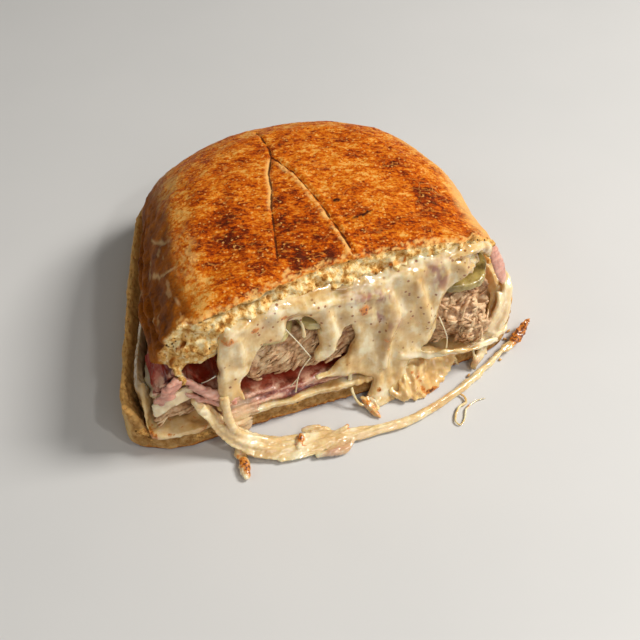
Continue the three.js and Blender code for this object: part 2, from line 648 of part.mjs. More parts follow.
const FINISHES = {
  bread: { color: 0xd9b780, roughness: 0.75, metalness: 0 },
  crust: { color: 0xb5651f, roughness: 0.45, metalness: 0 },
  cheese: { color: 0xeddcae, roughness: 0.32, metalness: 0 },
  ham: { color: 0xd89a93, roughness: 0.4, metalness: 0 },
  pork: { color: 0xa9806a, roughness: 0.6, metalness: 0 },
  pickle: { color: 0xa9a765, roughness: 0.3, metalness: 0 },
};
const kindOf = (name) => Object.keys(FINISHES).find((kind) => name.includes(kind));

const sandwich = new THREE.Group();
sandwich.name = "cuban_sandwich";
for (const [name, shape] of Object.entries(made)) {
  const finish = FINISHES[name === "upper_bread" ? "crust" : kindOf(name)];
  const mesh = new THREE.Mesh(geometryOf(shape), new THREE.MeshStandardMaterial(finish));
  mesh.name = name;
  sandwich.add(mesh);
}

const centre = new THREE.Box3().setFromObject(sandwich).getCenter(vec());
sandwich.position.set(-centre.x, -centre.y, 0);

export default sandwich;
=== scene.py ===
# %% [markdown]
# # Half of a pressed Cuban sandwich
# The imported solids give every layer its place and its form. This file dresses them: browned and
# cracked crust, torn crumb, melted cheese that has run down the cut, torn roast pork, rumpled ham and
# wet pickle. All shapes are worked out in millimetres on one drawing, and only the finished mesh is
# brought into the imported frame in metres. That keeps the numbers easy to read.

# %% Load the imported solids
import itertools
import json
import math
import random

import bmesh
import bpy
import numpy as np
from mathutils import Matrix, Vector
from mathutils.bvhtree import BVHTree

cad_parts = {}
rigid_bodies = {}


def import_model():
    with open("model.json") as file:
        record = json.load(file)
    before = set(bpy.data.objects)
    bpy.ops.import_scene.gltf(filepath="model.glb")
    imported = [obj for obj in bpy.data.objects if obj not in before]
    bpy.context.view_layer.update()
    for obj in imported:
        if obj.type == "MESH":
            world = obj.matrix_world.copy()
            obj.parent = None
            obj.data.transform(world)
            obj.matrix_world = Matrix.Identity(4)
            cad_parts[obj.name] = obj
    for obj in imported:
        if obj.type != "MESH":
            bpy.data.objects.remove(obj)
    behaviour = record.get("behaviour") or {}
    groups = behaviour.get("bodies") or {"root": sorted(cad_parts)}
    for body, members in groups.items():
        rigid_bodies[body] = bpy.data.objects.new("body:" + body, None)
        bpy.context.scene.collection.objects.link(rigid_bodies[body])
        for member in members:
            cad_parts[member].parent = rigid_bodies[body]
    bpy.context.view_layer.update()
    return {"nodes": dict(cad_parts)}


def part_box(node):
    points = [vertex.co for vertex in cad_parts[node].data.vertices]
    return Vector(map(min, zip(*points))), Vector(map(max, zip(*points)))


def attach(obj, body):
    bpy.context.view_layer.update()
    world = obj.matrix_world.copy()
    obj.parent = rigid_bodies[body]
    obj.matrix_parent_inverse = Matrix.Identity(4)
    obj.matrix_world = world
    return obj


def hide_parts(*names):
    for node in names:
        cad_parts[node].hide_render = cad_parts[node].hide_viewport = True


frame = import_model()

print("nodes:", ", ".join(sorted(frame["nodes"])))

# %% [markdown]
# ## The drawing
# On the drawing, X runs along the cut, -Y points out of it and zero is on the ground near the middle.
# The lower bread's lowest corner is known on the drawing and in the frame, so it ties the two together.

# %% Tie the drawing to the frame
BREAD_CORNER = Vector((-83.39, -45.35, 0))
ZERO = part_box("lower_bread")[0] * 1000 - BREAD_CORNER
TO_DRAWING = Matrix.Translation(-ZERO) @ Matrix.Scale(1000, 4)
TO_FRAME = TO_DRAWING.inverted()
print("the drawing's zero is at", [round(v, 2) for v in ZERO], "mm in the frame")

# %% [markdown]
# ## The cut face
# The knife left a leaning face. Its foot and its top edge are two bent lines, and the face is ruled
# between them. Nearly every filling is placed on it, so this is the first thing that the helpers know.

# %% The leaning face of the cut
FOOT_X = [-83, -77, -68, -56, -43, -15, 20, 48, 54.5, 58.5]
FOOT_Y = [-20, -25, -29.5, -31.2, -32.8, -37.3, -43, -44.5, -39.5, -24]
CROWN_X = [-60, -57, -53, -46, -15, 18, 34, 38]
CROWN_Y = [-22.5, -27, -27.5, -27.5, -26.5, -33, -37.5, -33.5]
CROWN_HEIGHT = 56


def face_y(x, z):
    """Where the cut face stands, for places along it and heights."""
    foot, crown = np.interp(x, FOOT_X, FOOT_Y), np.interp(x, CROWN_X, CROWN_Y)
    return foot + (crown - foot) * np.asarray(z) / CROWN_HEIGHT


def on_face(x, z, proud=0.0):
    """A point that stands proud of the cut face."""
    return Vector((x, float(face_y(x, z)) - proud, z))


def behind_cut(co):
    """How far points lie behind the cut face."""
    return co[:, 1] - face_y(co[:, 0], co[:, 2])


def ramp(value, low, high):
    """0 below low, 1 above high, and smooth between them."""
    t = np.clip((np.asarray(value, float) - low) / (high - low), 0, 1)
    return t * t * (3 - 2 * t)


def spot(x, z, at, size):
    """1 in the middle of a soft round spot, falling to 0 round it."""
    return np.exp(-(((x - at[0]) / size[0]) ** 2 + ((z - at[1]) / size[1]) ** 2))


def spots(x, z, rows):
    """The sum of soft spots, each given as its strength, its middle and its size."""
    return sum(strength * spot(x, z, at, size) for strength, at, size in rows)


def bell(value, width):
    """1 where a value is 0, falling to 0 on both sides of it."""
    return np.exp(-((value / width) ** 2))


def away_from(x, y, *lines):
    """How far points lie from the nearest of some bent lines, all seen from one side or from above."""
    nearest = np.full(len(x), 1e9)
    for (ax, ay), (bx, by) in (pair for line in lines for pair in zip(line, line[1:])):
        t = ((x - ax) * (bx - ax) + (y - ay) * (by - ay)) / ((bx - ax) ** 2 + (by - ay) ** 2)
        t = np.clip(t, 0, 1)
        nearest = np.minimum(nearest, np.hypot(x - ax - t * (bx - ax), y - ay - t * (by - ay)))
    return nearest


# %% [markdown]
# ## Noise
# Food is uneven at every scale. `waves` is gradient noise worked out for all points of a mesh at once:
# each whole-numbered cell gets its own repeatable slope, and the slopes are blended between corners.

# %% Repeatable noise
# These primes scatter neighbouring cells over the whole range of numbers.
CELL_PRIMES = np.array([73856093, 19349663, 83492791])
SEED_PRIME = 7919
MIXING_PRIME = 1274126177


def chance(cell, seed):
    """A repeatable number from 0 to 1 for each whole-numbered cell."""
    mixed = cell.astype(np.int64) @ CELL_PRIMES + seed * SEED_PRIME
    mixed = (mixed ^ (mixed >> 13)) * MIXING_PRIME & 0xFFFFFFFF
    return ((mixed ^ (mixed >> 16)) & 0xFFFF) / 0xFFFF


def chances(cell, seed):
    """Three such numbers for each cell."""
    return np.stack([chance(cell, seed + 101 * axis) for axis in range(3)], 1)


def waves(q, seed):
    """Smooth noise between about -1 and 1."""
    low = np.floor(q)
    t = q - low
    fade = t**3 * (t * (6 * t - 15) + 10)
    total = np.zeros(len(q))
    for corner in itertools.product((0, 1), repeat=3):
        share = np.prod(np.where(corner, fade, 1 - fade), axis=1)
        total += share * np.sum((chances(low + corner, seed) - 0.5) * (t - corner), axis=1)
    return 3 * total


def grain(co, size, octaves=3, stretch=(1, 1, 1), seed=0):
    """Noise whose largest lumps have a size in millimetres, with finer ones on them."""
    q = co / (size * np.array(stretch))
    return sum(waves(q * 2.1**k, 10 * seed + k) / 2**k for k in range(octaves))


def pores(co, size, seed):
    """1 in the middle of a pore and 0 between pores."""
    q = co / size
    low, nearest = np.floor(q), np.full(len(co), 9.0)
    for step in itertools.product((-1, 0, 1), repeat=3):
        middle = low + step + chances(low + step, seed)
        nearest = np.minimum(nearest, np.linalg.norm(q - middle, axis=1))
    return 1 - ramp(nearest, 0.1, 0.45)


# %% [markdown]
# ## From solid to sculpted piece
# Food has no flat facets. Each piece starts as a copy of its solid, which a voxel remesh turns into an
# even skin of small faces. A few rounds of smoothing take the facets away, and then every point moves
# along its normal by noise: large lumps first, then pores and fibres.

# %% Helpers for meshes
def in_scene(name, data):
    """A new object in the scene."""
    made = bpy.data.objects.new(name, data)
    bpy.context.scene.collection.objects.link(made)
    return made


def copy_of(*nodes):
    """The solids of some nodes as one bmesh on the drawing, which is empty if none are named."""
    bm = bmesh.new()
    for node in nodes:
        bm.from_mesh(frame["nodes"][node].data)
    bmesh.ops.remove_doubles(bm, verts=bm.verts, dist=1e-6)
    bmesh.ops.transform(bm, matrix=TO_DRAWING, verts=bm.verts)
    bmesh.ops.recalc_face_normals(bm, faces=bm.faces)
    return bm


def remeshed(bm, voxel, rounds):
    """An even, closed skin round everything in a bmesh, smoothed a few times."""
    mesh = bpy.data.meshes.new("raw")
    bm.to_mesh(mesh)
    bm.free()
    raw = in_scene("raw", mesh)
    remesh = raw.modifiers.new("skin", "REMESH")
    remesh.mode, remesh.voxel_size, remesh.use_smooth_shade = "VOXEL", voxel, True
    smooth = raw.modifiers.new("smooth", "SMOOTH")
    smooth.factor, smooth.iterations = 0.5, rounds
    shown = raw.evaluated_get(bpy.context.evaluated_depsgraph_get())
    result = bpy.data.meshes.new_from_object(shown)
    bpy.data.objects.remove(raw)
    bpy.data.meshes.remove(mesh)
    return result


def places(mesh):
    """The points of a mesh, as an array."""
    co = np.zeros(len(mesh.vertices) * 3)
    mesh.vertices.foreach_get("co", co)
    return co.reshape(-1, 3)


def outward(mesh):
    """The normals of its points."""
    normal = np.zeros(len(mesh.vertices) * 3)
    mesh.vertex_normals.foreach_get("vector", normal)
    return normal.reshape(-1, 3)


def moved(mesh, co, lowest=0.0):
    """Puts the points of a mesh at new places, none of them under the ground."""
    co = np.array(co, float)
    co[:, 2] = np.maximum(co[:, 2], lowest)
    mesh.vertices.foreach_set("co", co.ravel())
    mesh.update()


def relaxed(mesh, rounds, weight):
    """Smooths a mesh by a share that may differ from point to point."""
    edges = np.zeros(len(mesh.edges) * 2, int)
    mesh.edges.foreach_get("vertices", edges)
    a, b = edges.reshape(-1, 2).T
    co = places(mesh)
    count = np.bincount(a, minlength=len(co)) + np.bincount(b, minlength=len(co))
    share = (0.6 * np.asarray(weight, float))[:, None]
    for _ in range(rounds):
        sums = [np.bincount(a, co[b, i], len(co)) + np.bincount(b, co[a, i], len(co)) for i in range(3)]
        co += share * (np.stack(sums, 1) / count[:, None] - co)
    moved(mesh, co)


def swell(mesh, height, lowest=0.0):
    """Moves each point along its normal, and returns the new places."""
    moved(mesh, places(mesh) + outward(mesh) * np.asarray(height)[:, None], lowest)
    return places(mesh)


def record_mask(mesh, **masks):
    """Stores masks on the points of a mesh, for its material to read."""
    for name, values in masks.items():
        layer = mesh.attributes.new(name, "FLOAT", "POINT")
        layer.data.foreach_set("value", np.clip(values, 0, 1).astype(np.float32))


def finished(name, mesh, material, nodes):
    """Brings a mesh into the frame as a named piece that stands for some nodes."""
    mesh.transform(TO_FRAME)
    mesh.shade_smooth()
    mesh.materials.clear()
    mesh.materials.append(material)
    mesh.name = name
    piece = in_scene(name, mesh)
    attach(piece, "root")
    if nodes:
        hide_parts(*nodes)
    print(f"{name}: {sum(len(p.vertices) - 2 for p in mesh.polygons)} triangles")


# %% [markdown]
# Lumps, threads and drips are added to a solid before the remesh, which melts them into it without a
# seam. Each is a simple closed form: a ball, or a round string along a smooth path.

# %% Helpers for lumps and strings
STEPS_BETWEEN = 6  # points of a string between two of the given ones


def blob(bm, place, size, turn, detail):
    """Adds a soft ball with its half sizes, turned about the vertical."""
    matrix = Matrix.Translation(place) @ Matrix.Rotation(turn, 4, "Z") @ Matrix.Diagonal((*size, 1))
    bmesh.ops.create_icosphere(bm, subdivisions=detail, radius=1, matrix=matrix)


def lumps(bm, count, seed, span, edge, rise, size):
    """Adds torn lumps on the surface near the cut, at heights above a line."""
    draw = random.Random(seed)
    skin = BVHTree.FromBMesh(bm)
    for _ in range(count):
        px = draw.uniform(*span)
        wanted = on_face(px, float(np.interp(px, *edge)) + draw.uniform(*rise), 0.5)
        place = skin.find_nearest(wanted)[0]
        blob(bm, place, [draw.uniform(*size) for _ in range(3)], draw.uniform(0, 3), 1)


def curve_through(points):
    """Points along a smooth path through a few given ones."""
    given = [Vector(p) for p in points]
    given = [2 * given[0] - given[1], *given, 2 * given[-1] - given[-2]]
    path = []
    for p0, p1, p2, p3 in zip(given, given[1:], given[2:], given[3:]):
        for t in (k / STEPS_BETWEEN for k in range(STEPS_BETWEEN)):
            bent = (2 * p0 - 5 * p1 + 4 * p2 - p3) * t * t + (3 * p1 - p0 - 3 * p2 + p3) * t**3
            path.append(p1 + 0.5 * ((p2 - p0) * t + bent))
    return path + [given[-2]]


def tube(bm, points, radii, sides):
    """Adds a round string along a path. Its radius goes through the given radii."""
    path = curve_through(points)
    curve = bpy.data.curves.new("string", "CURVE")
    curve.dimensions, curve.bevel_depth, curve.bevel_resolution = "3D", 1.0, sides
    curve.use_fill_caps = True
    spline = curve.splines.new("POLY")
    spline.points.add(len(path) - 1)
    shares = np.linspace(0, 1, len(path))
    widths = np.interp(shares, np.linspace(0, 1, len(radii)), radii)
    for point, place, width in zip(spline.points, path, widths):
        point.co, point.radius = (*place, 1), width
    raw = in_scene("string", curve)
    mesh = bpy.data.meshes.new_from_object(raw.evaluated_get(bpy.context.evaluated_depsgraph_get()))
    start = len(bm.verts)
    bm.from_mesh(mesh)
    bm.verts.ensure_lookup_table()
    bmesh.ops.remove_doubles(bm, verts=bm.verts[start:], dist=1e-4)
    for data, block in ((bpy.data.objects, raw), (bpy.data.meshes, mesh), (bpy.data.curves, curve)):
        data.remove(block)


def tubes(bm, strings, sides=3):
    """Adds several strings, each given as its points and its radii."""
    for points, radii in strings:
        tube(bm, points, radii, sides)


def on_cut(strings):
    """Strings whose points are given as places along the cut, heights and how proud they stand."""
    return [([on_face(*point) for point in line], radii) for line, radii in strings]


def body(nodes, strings, voxel, rounds):
    """An even skin round the solids of some nodes, or of none, with strings melted into it."""
    bm = copy_of(*nodes)
    tubes(bm, strings)
    return remeshed(bm, voxel, rounds)


def with_strings(mesh, strings):
    """The mesh with fine strings laid over it, too thin for the remesh."""
    bm = bmesh.new()
    bm.from_mesh(mesh)
    tubes(bm, strings, sides=1)
    bmesh.ops.recalc_face_normals(bm, faces=bm.faces)
    bm.to_mesh(mesh)
    bm.free()
    return mesh


# %% [markdown]
# ## Shader maths as Python
# A material is easier to read as arithmetic. `Link` wraps a socket, so that `1 - mask` or
# `grain * 0.3` adds the Math node for it. Every other node comes from `Paint.node`.

# %% Helpers for materials
def linear(colour):
    """A screen colour, with shares from 0 to 255, as the one that a shader takes."""
    return (*[((c / 255 + 0.055) / 1.055) ** 2.4 if c > 10 else c / 3295 for c in colour], 1)


class Link:
    """A socket that takes part in sums."""

    def __init__(self, paint, socket):
        self.paint, self.socket = paint, socket

    def maths(self, operation, first, second):
        return self.paint.node("ShaderNodeMath", {"operation": operation}, {0: first, 1: second})

    def __add__(self, other):
        return self.maths("ADD", self, other)

    def __sub__(self, other):
        return self.maths("SUBTRACT", self, other)

    def __rsub__(self, other):
        return self.maths("SUBTRACT", other, self)

    def __mul__(self, other):
        return self.maths("MULTIPLY", self, other)

    __radd__, __rmul__ = __add__, __mul__


class Paint:
    """A material in the making. Constants are set on the shader's own sockets."""

    def __init__(self, name, **constants):
        self.material = bpy.data.materials.new(name)
        self.material.use_nodes = True
        self.tree = self.material.node_tree
        self.shader = self.tree.nodes["Principled BSDF"]
        for key, value in constants.items():
            self.shader.inputs[key.replace("_", " ").title().replace("Ior", "IOR")].default_value = value
        self.here = self.node("ShaderNodeTexCoord", output="Object")

    def node(self, kind, settings=None, inputs=None, output=0):
        """Adds a node, sets it up, feeds it and hands out one of its outputs."""
        made = self.tree.nodes.new(kind)
        for key, value in (settings or {}).items():
            if key == "stops":
                self.set_stops(made.color_ramp, value)
            else:
                setattr(made, key, value)
        for key, value in (inputs or {}).items():
            self.feed(made.inputs[key], value)
        return Link(self, made.outputs[output])

    def set_stops(self, colour_ramp, stops):
        while len(colour_ramp.elements) < len(stops):
            colour_ramp.elements.new(1)
        for element, (place, colour) in zip(colour_ramp.elements, stops):
            element.position, element.color = place, linear(colour)

    def feed(self, socket, value):
        if isinstance(value, Link):
            self.tree.links.new(value.socket, socket)
        else:
            socket.default_value = value

    def mask(self, name):
        """A mask that the mesh carries. It is 0 on a mesh that has none of that name."""
        return self.node("ShaderNodeAttribute", {"attribute_name": name}, output="Fac")

    def noise(self, size, detail=3, stretch=(1, 1, 1), turn=0.0, roughness=0.55):
        """Noise from 0 to 1. Its lumps have a size in millimetres, stretched and turned on the plan."""
        where = {0: self.here, "Rotation": (0, 0, turn), "Scale": stretch}
        turned = self.node("ShaderNodeMapping", {"vector_type": "TEXTURE"}, where)
        inputs = {"Vector": turned, "Scale": 1000 / size, "Detail": detail, "Roughness": roughness}
        return self.node("ShaderNodeTexNoise", {}, inputs)

    def cells(self, size, feature="F1", wander=0.0):
        """Distance from the middle, or the edge, of cells with a size in millimetres."""
        drift = self.node("ShaderNodeTexNoise", {}, {"Vector": self.here, "Scale": 700 / size}, "Color")
        shift = {0: drift, 1: (wander / 1000,) * 3, 2: self.here}
        where = self.node("ShaderNodeVectorMath", {"operation": "MULTIPLY_ADD"}, shift)
        inputs = {"Vector": where, "Scale": 1000 / size}
        return self.node("ShaderNodeTexVoronoi", {"feature": feature}, inputs, "Distance")

    def between(self, value, low, high):
        """0 where a value is below low and 1 where it is above high."""
        inputs = {"Value": value, 1: low, 2: high}
        return self.node("ShaderNodeMapRange", {"interpolation_type": "SMOOTHSTEP"}, inputs)

    def mix(self, share, first, second):
        """A blend of two colours."""
        first, second = [c if isinstance(c, Link) else linear(c) for c in (first, second)]
        inputs = {0: share, 6: first, 7: second}
        return self.node("ShaderNodeMix", {"data_type": "RGBA"}, inputs, 2)

    def over(self, tone, mask, strength, colour):
        """A tone with a colour laid over it where a mask of the mesh says."""
        return self.mix(self.mask(mask) * strength, tone, colour)

    def tint(self, value, stops):
        """A colour that follows a value through stops."""
        return self.node("ShaderNodeValToRGB", {"stops": stops}, {0: value})

    def done(self, colour, roughness, bump, depth):
        """Feeds the shader. The bump's depth is in millimetres."""
        self.feed(self.shader.inputs["Base Color"], colour)
        self.feed(self.shader.inputs["Roughness"], roughness)
        inputs = {"Strength": 1.0, "Distance": depth / 1000, "Height": bump}
        self.feed(self.shader.inputs["Normal"], self.node("ShaderNodeBump", {}, inputs))
        return self.material


# %% [markdown]
# ## Camera, floor and light
# The camera looks down at the cut's left corner, as a diner would. The main lamp stands high at the
# right, so the left side lies in shade. A weaker one fills the front, a faint warm one lifts the left
# side, and a small one gives the wet parts their glints. The sky is a plain pale grey.

# %% Camera
CAMERA_PLACE = Vector((-127.6, -221.1, 267.8))
CAMERA_HEADING = math.radians(30)
CAMERA_PITCH = math.radians(46.49)
CAMERA_LENS = 56.25

camera = in_scene("camera", bpy.data.cameras.new("camera"))
camera.data.lens = CAMERA_LENS
camera.data.sensor_width = 36
camera.data.clip_start = 0.01
camera.location = TO_FRAME @ CAMERA_PLACE
level = Vector((math.sin(CAMERA_HEADING), math.cos(CAMERA_HEADING), 0)) * math.cos(CAMERA_PITCH)
looking = level - Vector((0, 0, math.sin(CAMERA_PITCH)))
camera.rotation_euler = looking.to_track_quat("-Z", "Y").to_euler()
bpy.context.scene.camera = camera

# %% Floor and light
FLOOR_SIZE = 3.0

bm = bmesh.new()
bmesh.ops.create_grid(bm, x_segments=1, y_segments=1, size=FLOOR_SIZE)
bmesh.ops.translate(bm, vec=(0, 0, -0.0001), verts=bm.verts)
floor = in_scene("floor", bpy.data.meshes.new("floor"))
bm.to_mesh(floor.data)
bm.free()
floor_paint = Paint("floor", specular_ior_level=0.3)
floor_tone = floor_paint.mix(floor_paint.noise(90), (206, 206, 204), (214, 213, 211))
floor.data.materials.append(floor_paint.done(floor_tone, 0.5, floor_paint.noise(3), 0.01))


def lamp(name, place, aim, size, power, colour):
    """A square area lamp."""
    light = in_scene(name, bpy.data.lights.new(name, "AREA"))
    light.data.size, light.data.energy, light.data.color = size, power, colour
    light.location = Vector(place)
    light.rotation_euler = (Vector(aim) - Vector(place)).to_track_quat("-Z", "Y").to_euler()


lamp("key", (0.62, -0.26, 0.72), (0, 0, 0.03), 0.28, 9.2, (1.0, 0.97, 0.93))
lamp("fill", (-0.15, -0.75, 0.50), (0, 0, 0.02), 0.5, 1.4, (1.0, 0.98, 0.96))
lamp("side", (-0.6, 0.15, 0.50), (0, 0, 0.03), 0.2, 0.45, (1.0, 0.93, 0.82))
lamp("glint", (0.12, -0.52, 0.62), (0, 0, 0.03), 0.05, 0.9, (1.0, 0.98, 0.95))
sky = bpy.data.worlds.new("sky")
sky.use_nodes = True
sky.node_tree.nodes["Background"].inputs["Color"].default_value = (0.93, 0.92, 0.9, 1)
sky.node_tree.nodes["Background"].inputs["Strength"].default_value = 0.14
bpy.context.scene.world = sky
bpy.context.scene.view_settings.view_transform = "Standard"

# %% [markdown]
# ## The upper half of the roll
# A hot press has flattened the top and browned it unevenly, and two cracks run over it from the back.
# Its sides stay round and darker, with shallow grooves; on the left side the dark tone is partly
# browner crust and partly painted shade. The cut shows soft crumb under a thin crust.
# First come the lines that its forms follow, then torn lumps along the cut's edges and an even skin.

# %% Lines of the upper bread
CRACK_STEM = [(2, 50), (-0.5, 35), (-2.5, 29.5)]
CRACK_LEFT = [(-2.5, 29.5), (-8, 21), (-11, 13), (-15, 6), (-18, -1), (-22, -10), (-25.5, -18)]
CRACK_RIGHT = [(-2.5, 29.5), (-0.2, 17), (-0.2, 5), (-1, -5), (-2, -15), (-3.5, -27)]
CRUMB_EDGE = ([-66, -58, -50, -40, -10, 10, 20, 36], [36, 40, 45.5, 47.5, 47.5, 46.5, 49.5, 50.5])
HEEL_FOLD = ([(-66.4, 38, 0.2), (-65.4, 34, 1.4), (-64.8, 29.4, 1.4)], [1.1, 1.5, 1.2])
CROWN_EDGE = ([-52, -46, -15, 18, 30, 36], [55.4, 55.8, 56, 55, 53.4, 52.4])
SIDE_GROOVES = [
    [(1, 38), (-6, 39.5), (-15, 41), (-24, 44), (-29, 48)],
    [(40, 36), (20, 35), (2, 34), (-12, 37)],
]
SIDE_CRACKS = [[(25, 42), (17, 47), (10, 53)], [(8, 43), (3, 45), (-1, 52)]]


def shoulder_x(y):
    """How far along the left shoulder lies, where the pressed top turns down."""
    return -50 + 0.255 * (y + 21)


# %% Lumps and an even skin for the upper bread
bm = copy_of("upper_bread")
lumps(bm, 110, 5, (-58, 38), CRUMB_EDGE, (-0.5, 2.5), (0.7, 1.7))
lumps(bm, 46, 4, (-52, 38), CRUMB_EDGE, (-1.5, 4.5), (1.4, 2.4))
lumps(bm, 110, 8, (-54, 37), CROWN_EDGE, (-1.6, 0.6), (0.5, 1.1))
lumps(bm, 70, 6, (-66, -50), CRUMB_EDGE, (-1, 5), (0.7, 1.5))
lumps(bm, 44, 9, (-68, -52), CRUMB_EDGE, (-3, 0), (0.6, 1.4))
tubes(bm, on_cut([HEEL_FOLD]))
lumps(bm, 40, 7, (9, 20), CRUMB_EDGE, (0, 5), (0.8, 1.8))
upper = remeshed(bm, 0.66, 2)
co, out = places(upper), outward(upper)
cut_side = (1 - ramp(behind_cut(co), 2.5, 6)) * (1 - ramp(co[:, 2], 52, 55) * ramp(out[:, 2], 0.3, 0.7))
relaxed(upper, 40, 1 - 0.96 * cut_side)
print("upper bread:", len(upper.vertices), "points")

# %% [markdown]
# Masks worked out on the drawing say which points are torn crumb and which lie on the pressed top or
# turned down at its shoulder. The relief of the crust and the tears of the crumb are mixed by them.

# %% Relief of the upper bread
co, out = places(upper), outward(upper)
x, y, z = co.T
behind = behind_cut(co)
wobble = grain(co, 5, 3, seed=1)
underside = (1 - ramp(out[:, 2], -0.75, -0.35)) * ramp(z, 29, 31)
crumb = np.maximum(ramp(-out[:, 1], 0.35, 0.65) * (1 - ramp(behind, 1.5 + wobble, 4 + wobble)), underside)
crumb *= 1 - ramp(z + 0.9 * grain(co, 2.5, 3, seed=2), 54.2, 55.2) * ramp(out[:, 2], -0.2, 0.35)
crumb = np.maximum(crumb, (1 - ramp(z, 35.5, 38)) * (1 - ramp(behind, 1, 2.5)) * ramp(-x, 61, 63))
on_top = ramp(out[:, 2], 0.72, 0.93)
right_gap = away_from(x, y, CRACK_RIGHT)
split = away_from(x, y, CRACK_LEFT, CRACK_STEM, CRACK_RIGHT) + 0.25 * grain(co, 4, 2, seed=3)
layer_line = np.abs(z - 52.9 - 0.8 * grain(co, 9, 2, seed=10)) + ramp(x, -30, -18) * 4

relief = 0.4 * grain(co, 14, 3, seed=4) + 0.2 * grain(co, 3.0, 4, seed=5)
over_shoulder = shoulder_x(y) - x + 1.6 * grain(co, 6, 2, seed=19)
turned_down = ramp(over_shoulder, 4, 10) * (1 - ramp(out[:, 2], 0.6, 0.85))
shift = 0.8 * grain(co, 5, 2, seed=6)
groove = away_from(y + shift, z + shift, *SIDE_GROOVES)
pale_crack = away_from(y + shift, z + shift, *SIDE_CRACKS)
relief += turned_down * (grain(co, 9, 2, (1, 1.6, 1), seed=10) - 1.3 * bell(groove, 0.9))
relief += turned_down * 0.8 * bell(groove - 2.2, 1.3)
relief -= turned_down * 0.5 * bell(pale_crack, 0.6)
relief += turned_down * 0.3 * grain(co, 2.4, 2, (1, 5, 1), seed=18)
relief -= 0.7 * on_top * bell(split, 0.6)
relief += 0.4 * on_top * bell(right_gap - 1.6, 1.0) * (y < 26)
torn = 1.1 * grain(co, 4.2, 4, (1.6, 1, 0.7), seed=7) - 1.2 * pores(co, 3.4, 8) - 0.4 * pores(co, 1.6, 9)
torn -= 0.8 * bell(layer_line, 0.6)
swell(upper, (1 - crumb) * relief + crumb * torn * (1 - underside))
print("share of the upper bread's points that are crumb:", round(float(crumb.mean()), 3))

# %% [markdown]
# The browning isn't one tone. It is darkest on the left and in the triangle between the cracks, where
# the press bore hardest, and golden where the top curves down. The masks are soft spots and streaks.
# Along the right crack the skin has lifted and left a pale flap, and a pale spot on the left
# shoulder is a painted glint.

# %% Where the crust is scorched
SCORCHED = [
    (0.9, (-34, 0), (15, 24)),
    (0.8, (33, -10), (4.5, 20)),
    (0.45, (27, 20), (8, 12)),
    (0.35, (12, -12), (13, 12)),
    (0.35, (2, 36), (18, 7)),
]


def right_edge(y):
    """How far along the right crack lies, for places across."""
    return np.interp(y, [-27, -15, -5, 5, 17, 29.5], [-3.5, -2, -1, -0.2, -0.2, -2.5])


def left_edge(y):
    """The same for the left crack."""
    return np.interp(y, [-18, -10, -1, 6, 13, 21, 29.5], [-25.5, -22, -18, -15, -11, -8, -2.5])


x, y, z = places(upper).T
triangle = ramp(x - left_edge(y), 0.5, 2.5) * ramp(right_edge(y) - x, 2, 5) * (1 - ramp(y, 10, 20))
scorch = spots(x, y, SCORCHED) + 0.7 * triangle + 0.3 * ramp(-y, 8, 22) * ramp(x, -52, -40)
scorch = 0.32 + 0.5 * scorch * (0.7 + 0.7 * grain(co, 9, 3, seed=11)) * on_top
scorch -= 0.24 * bell(over_shoulder - 2, 4)
burnt = np.maximum(spot(x, y, (8.5, -13), (5.2, 1.1)), spot(x, y, (5, -3), (2.5, 1.4)))
burnt = ramp(burnt + 0.35 * grain(co, 2, 2, seed=12), 0.55, 0.8) * on_top
beside = right_edge(y) - x + 0.8 * grain(co, 3, 2, seed=13)
broken = ramp(grain(co, 1.5, 3, seed=21), -0.45, 0.15)
flap = ramp(beside, 0.3, 0.8) * (1 - ramp(beside, 1.4, 2.6)) * (1 - ramp(y, 23, 28)) * on_top * broken
ridge = bell(left_edge(y) - x - 0.6, 0.8) * ramp(y, 2, 8) * (1 - ramp(y, 27, 30)) * on_top
# The left side, turned away from the main lamp, is painted dark: partly its browner crust, partly painted
# shade.
side = ramp(over_shoulder, 4, 10) * (1 - crumb)
hairline = 0.5 * ramp(grain(co, 2.4, 2, (1, 9, 1), seed=14), 0.45, 0.7)
crease = side * np.maximum(bell(pale_crack, 0.5), hairline)
# A painted glint: a pale spot where the left shoulder shines.
wet = spot(over_shoulder, y, (3.5, 2), (3.0, 12)) * ramp(grain(co, 1.3, 3, (1, 3, 1), seed=20), -0.1, 0.3)
toast = 0.75 * ramp(-x, 46, 56) * ramp(grain(co, 2.2, 4, seed=15), -0.05, 0.6) + 0.65 * ramp(z, 52.6, 54.8)
toast += 0.5 * ramp(-x, 66, 69) * ramp(z, 34, 38)
toast = np.maximum(toast, 0.7 * ramp(x, 30, 36) * ramp(grain(co, 3, 3, seed=16), -0.2, 0.4))
ragged = on_top * (1 - ramp(behind - 2.6 * grain(co, 3, 4, seed=17), 0.6, 1.8)) * broken
right_side = 0.8 * ramp(x, 28, 36) * ramp(51.6 + 0.8 * grain(co, 5, 2, seed=22) - z, 0, 3) * (1 - crumb)
record_mask(upper, crumb=crumb, scorch=scorch, split=split / 4, cracked=on_top, burnt=burnt, side=side)
pale_skin = np.maximum.reduce([flap, ridge, ragged, 0.8 * wet, right_side])
record_mask(upper, flap=pale_skin, crease=crease, toast=toast, shade=bell(layer_line, 0.55))
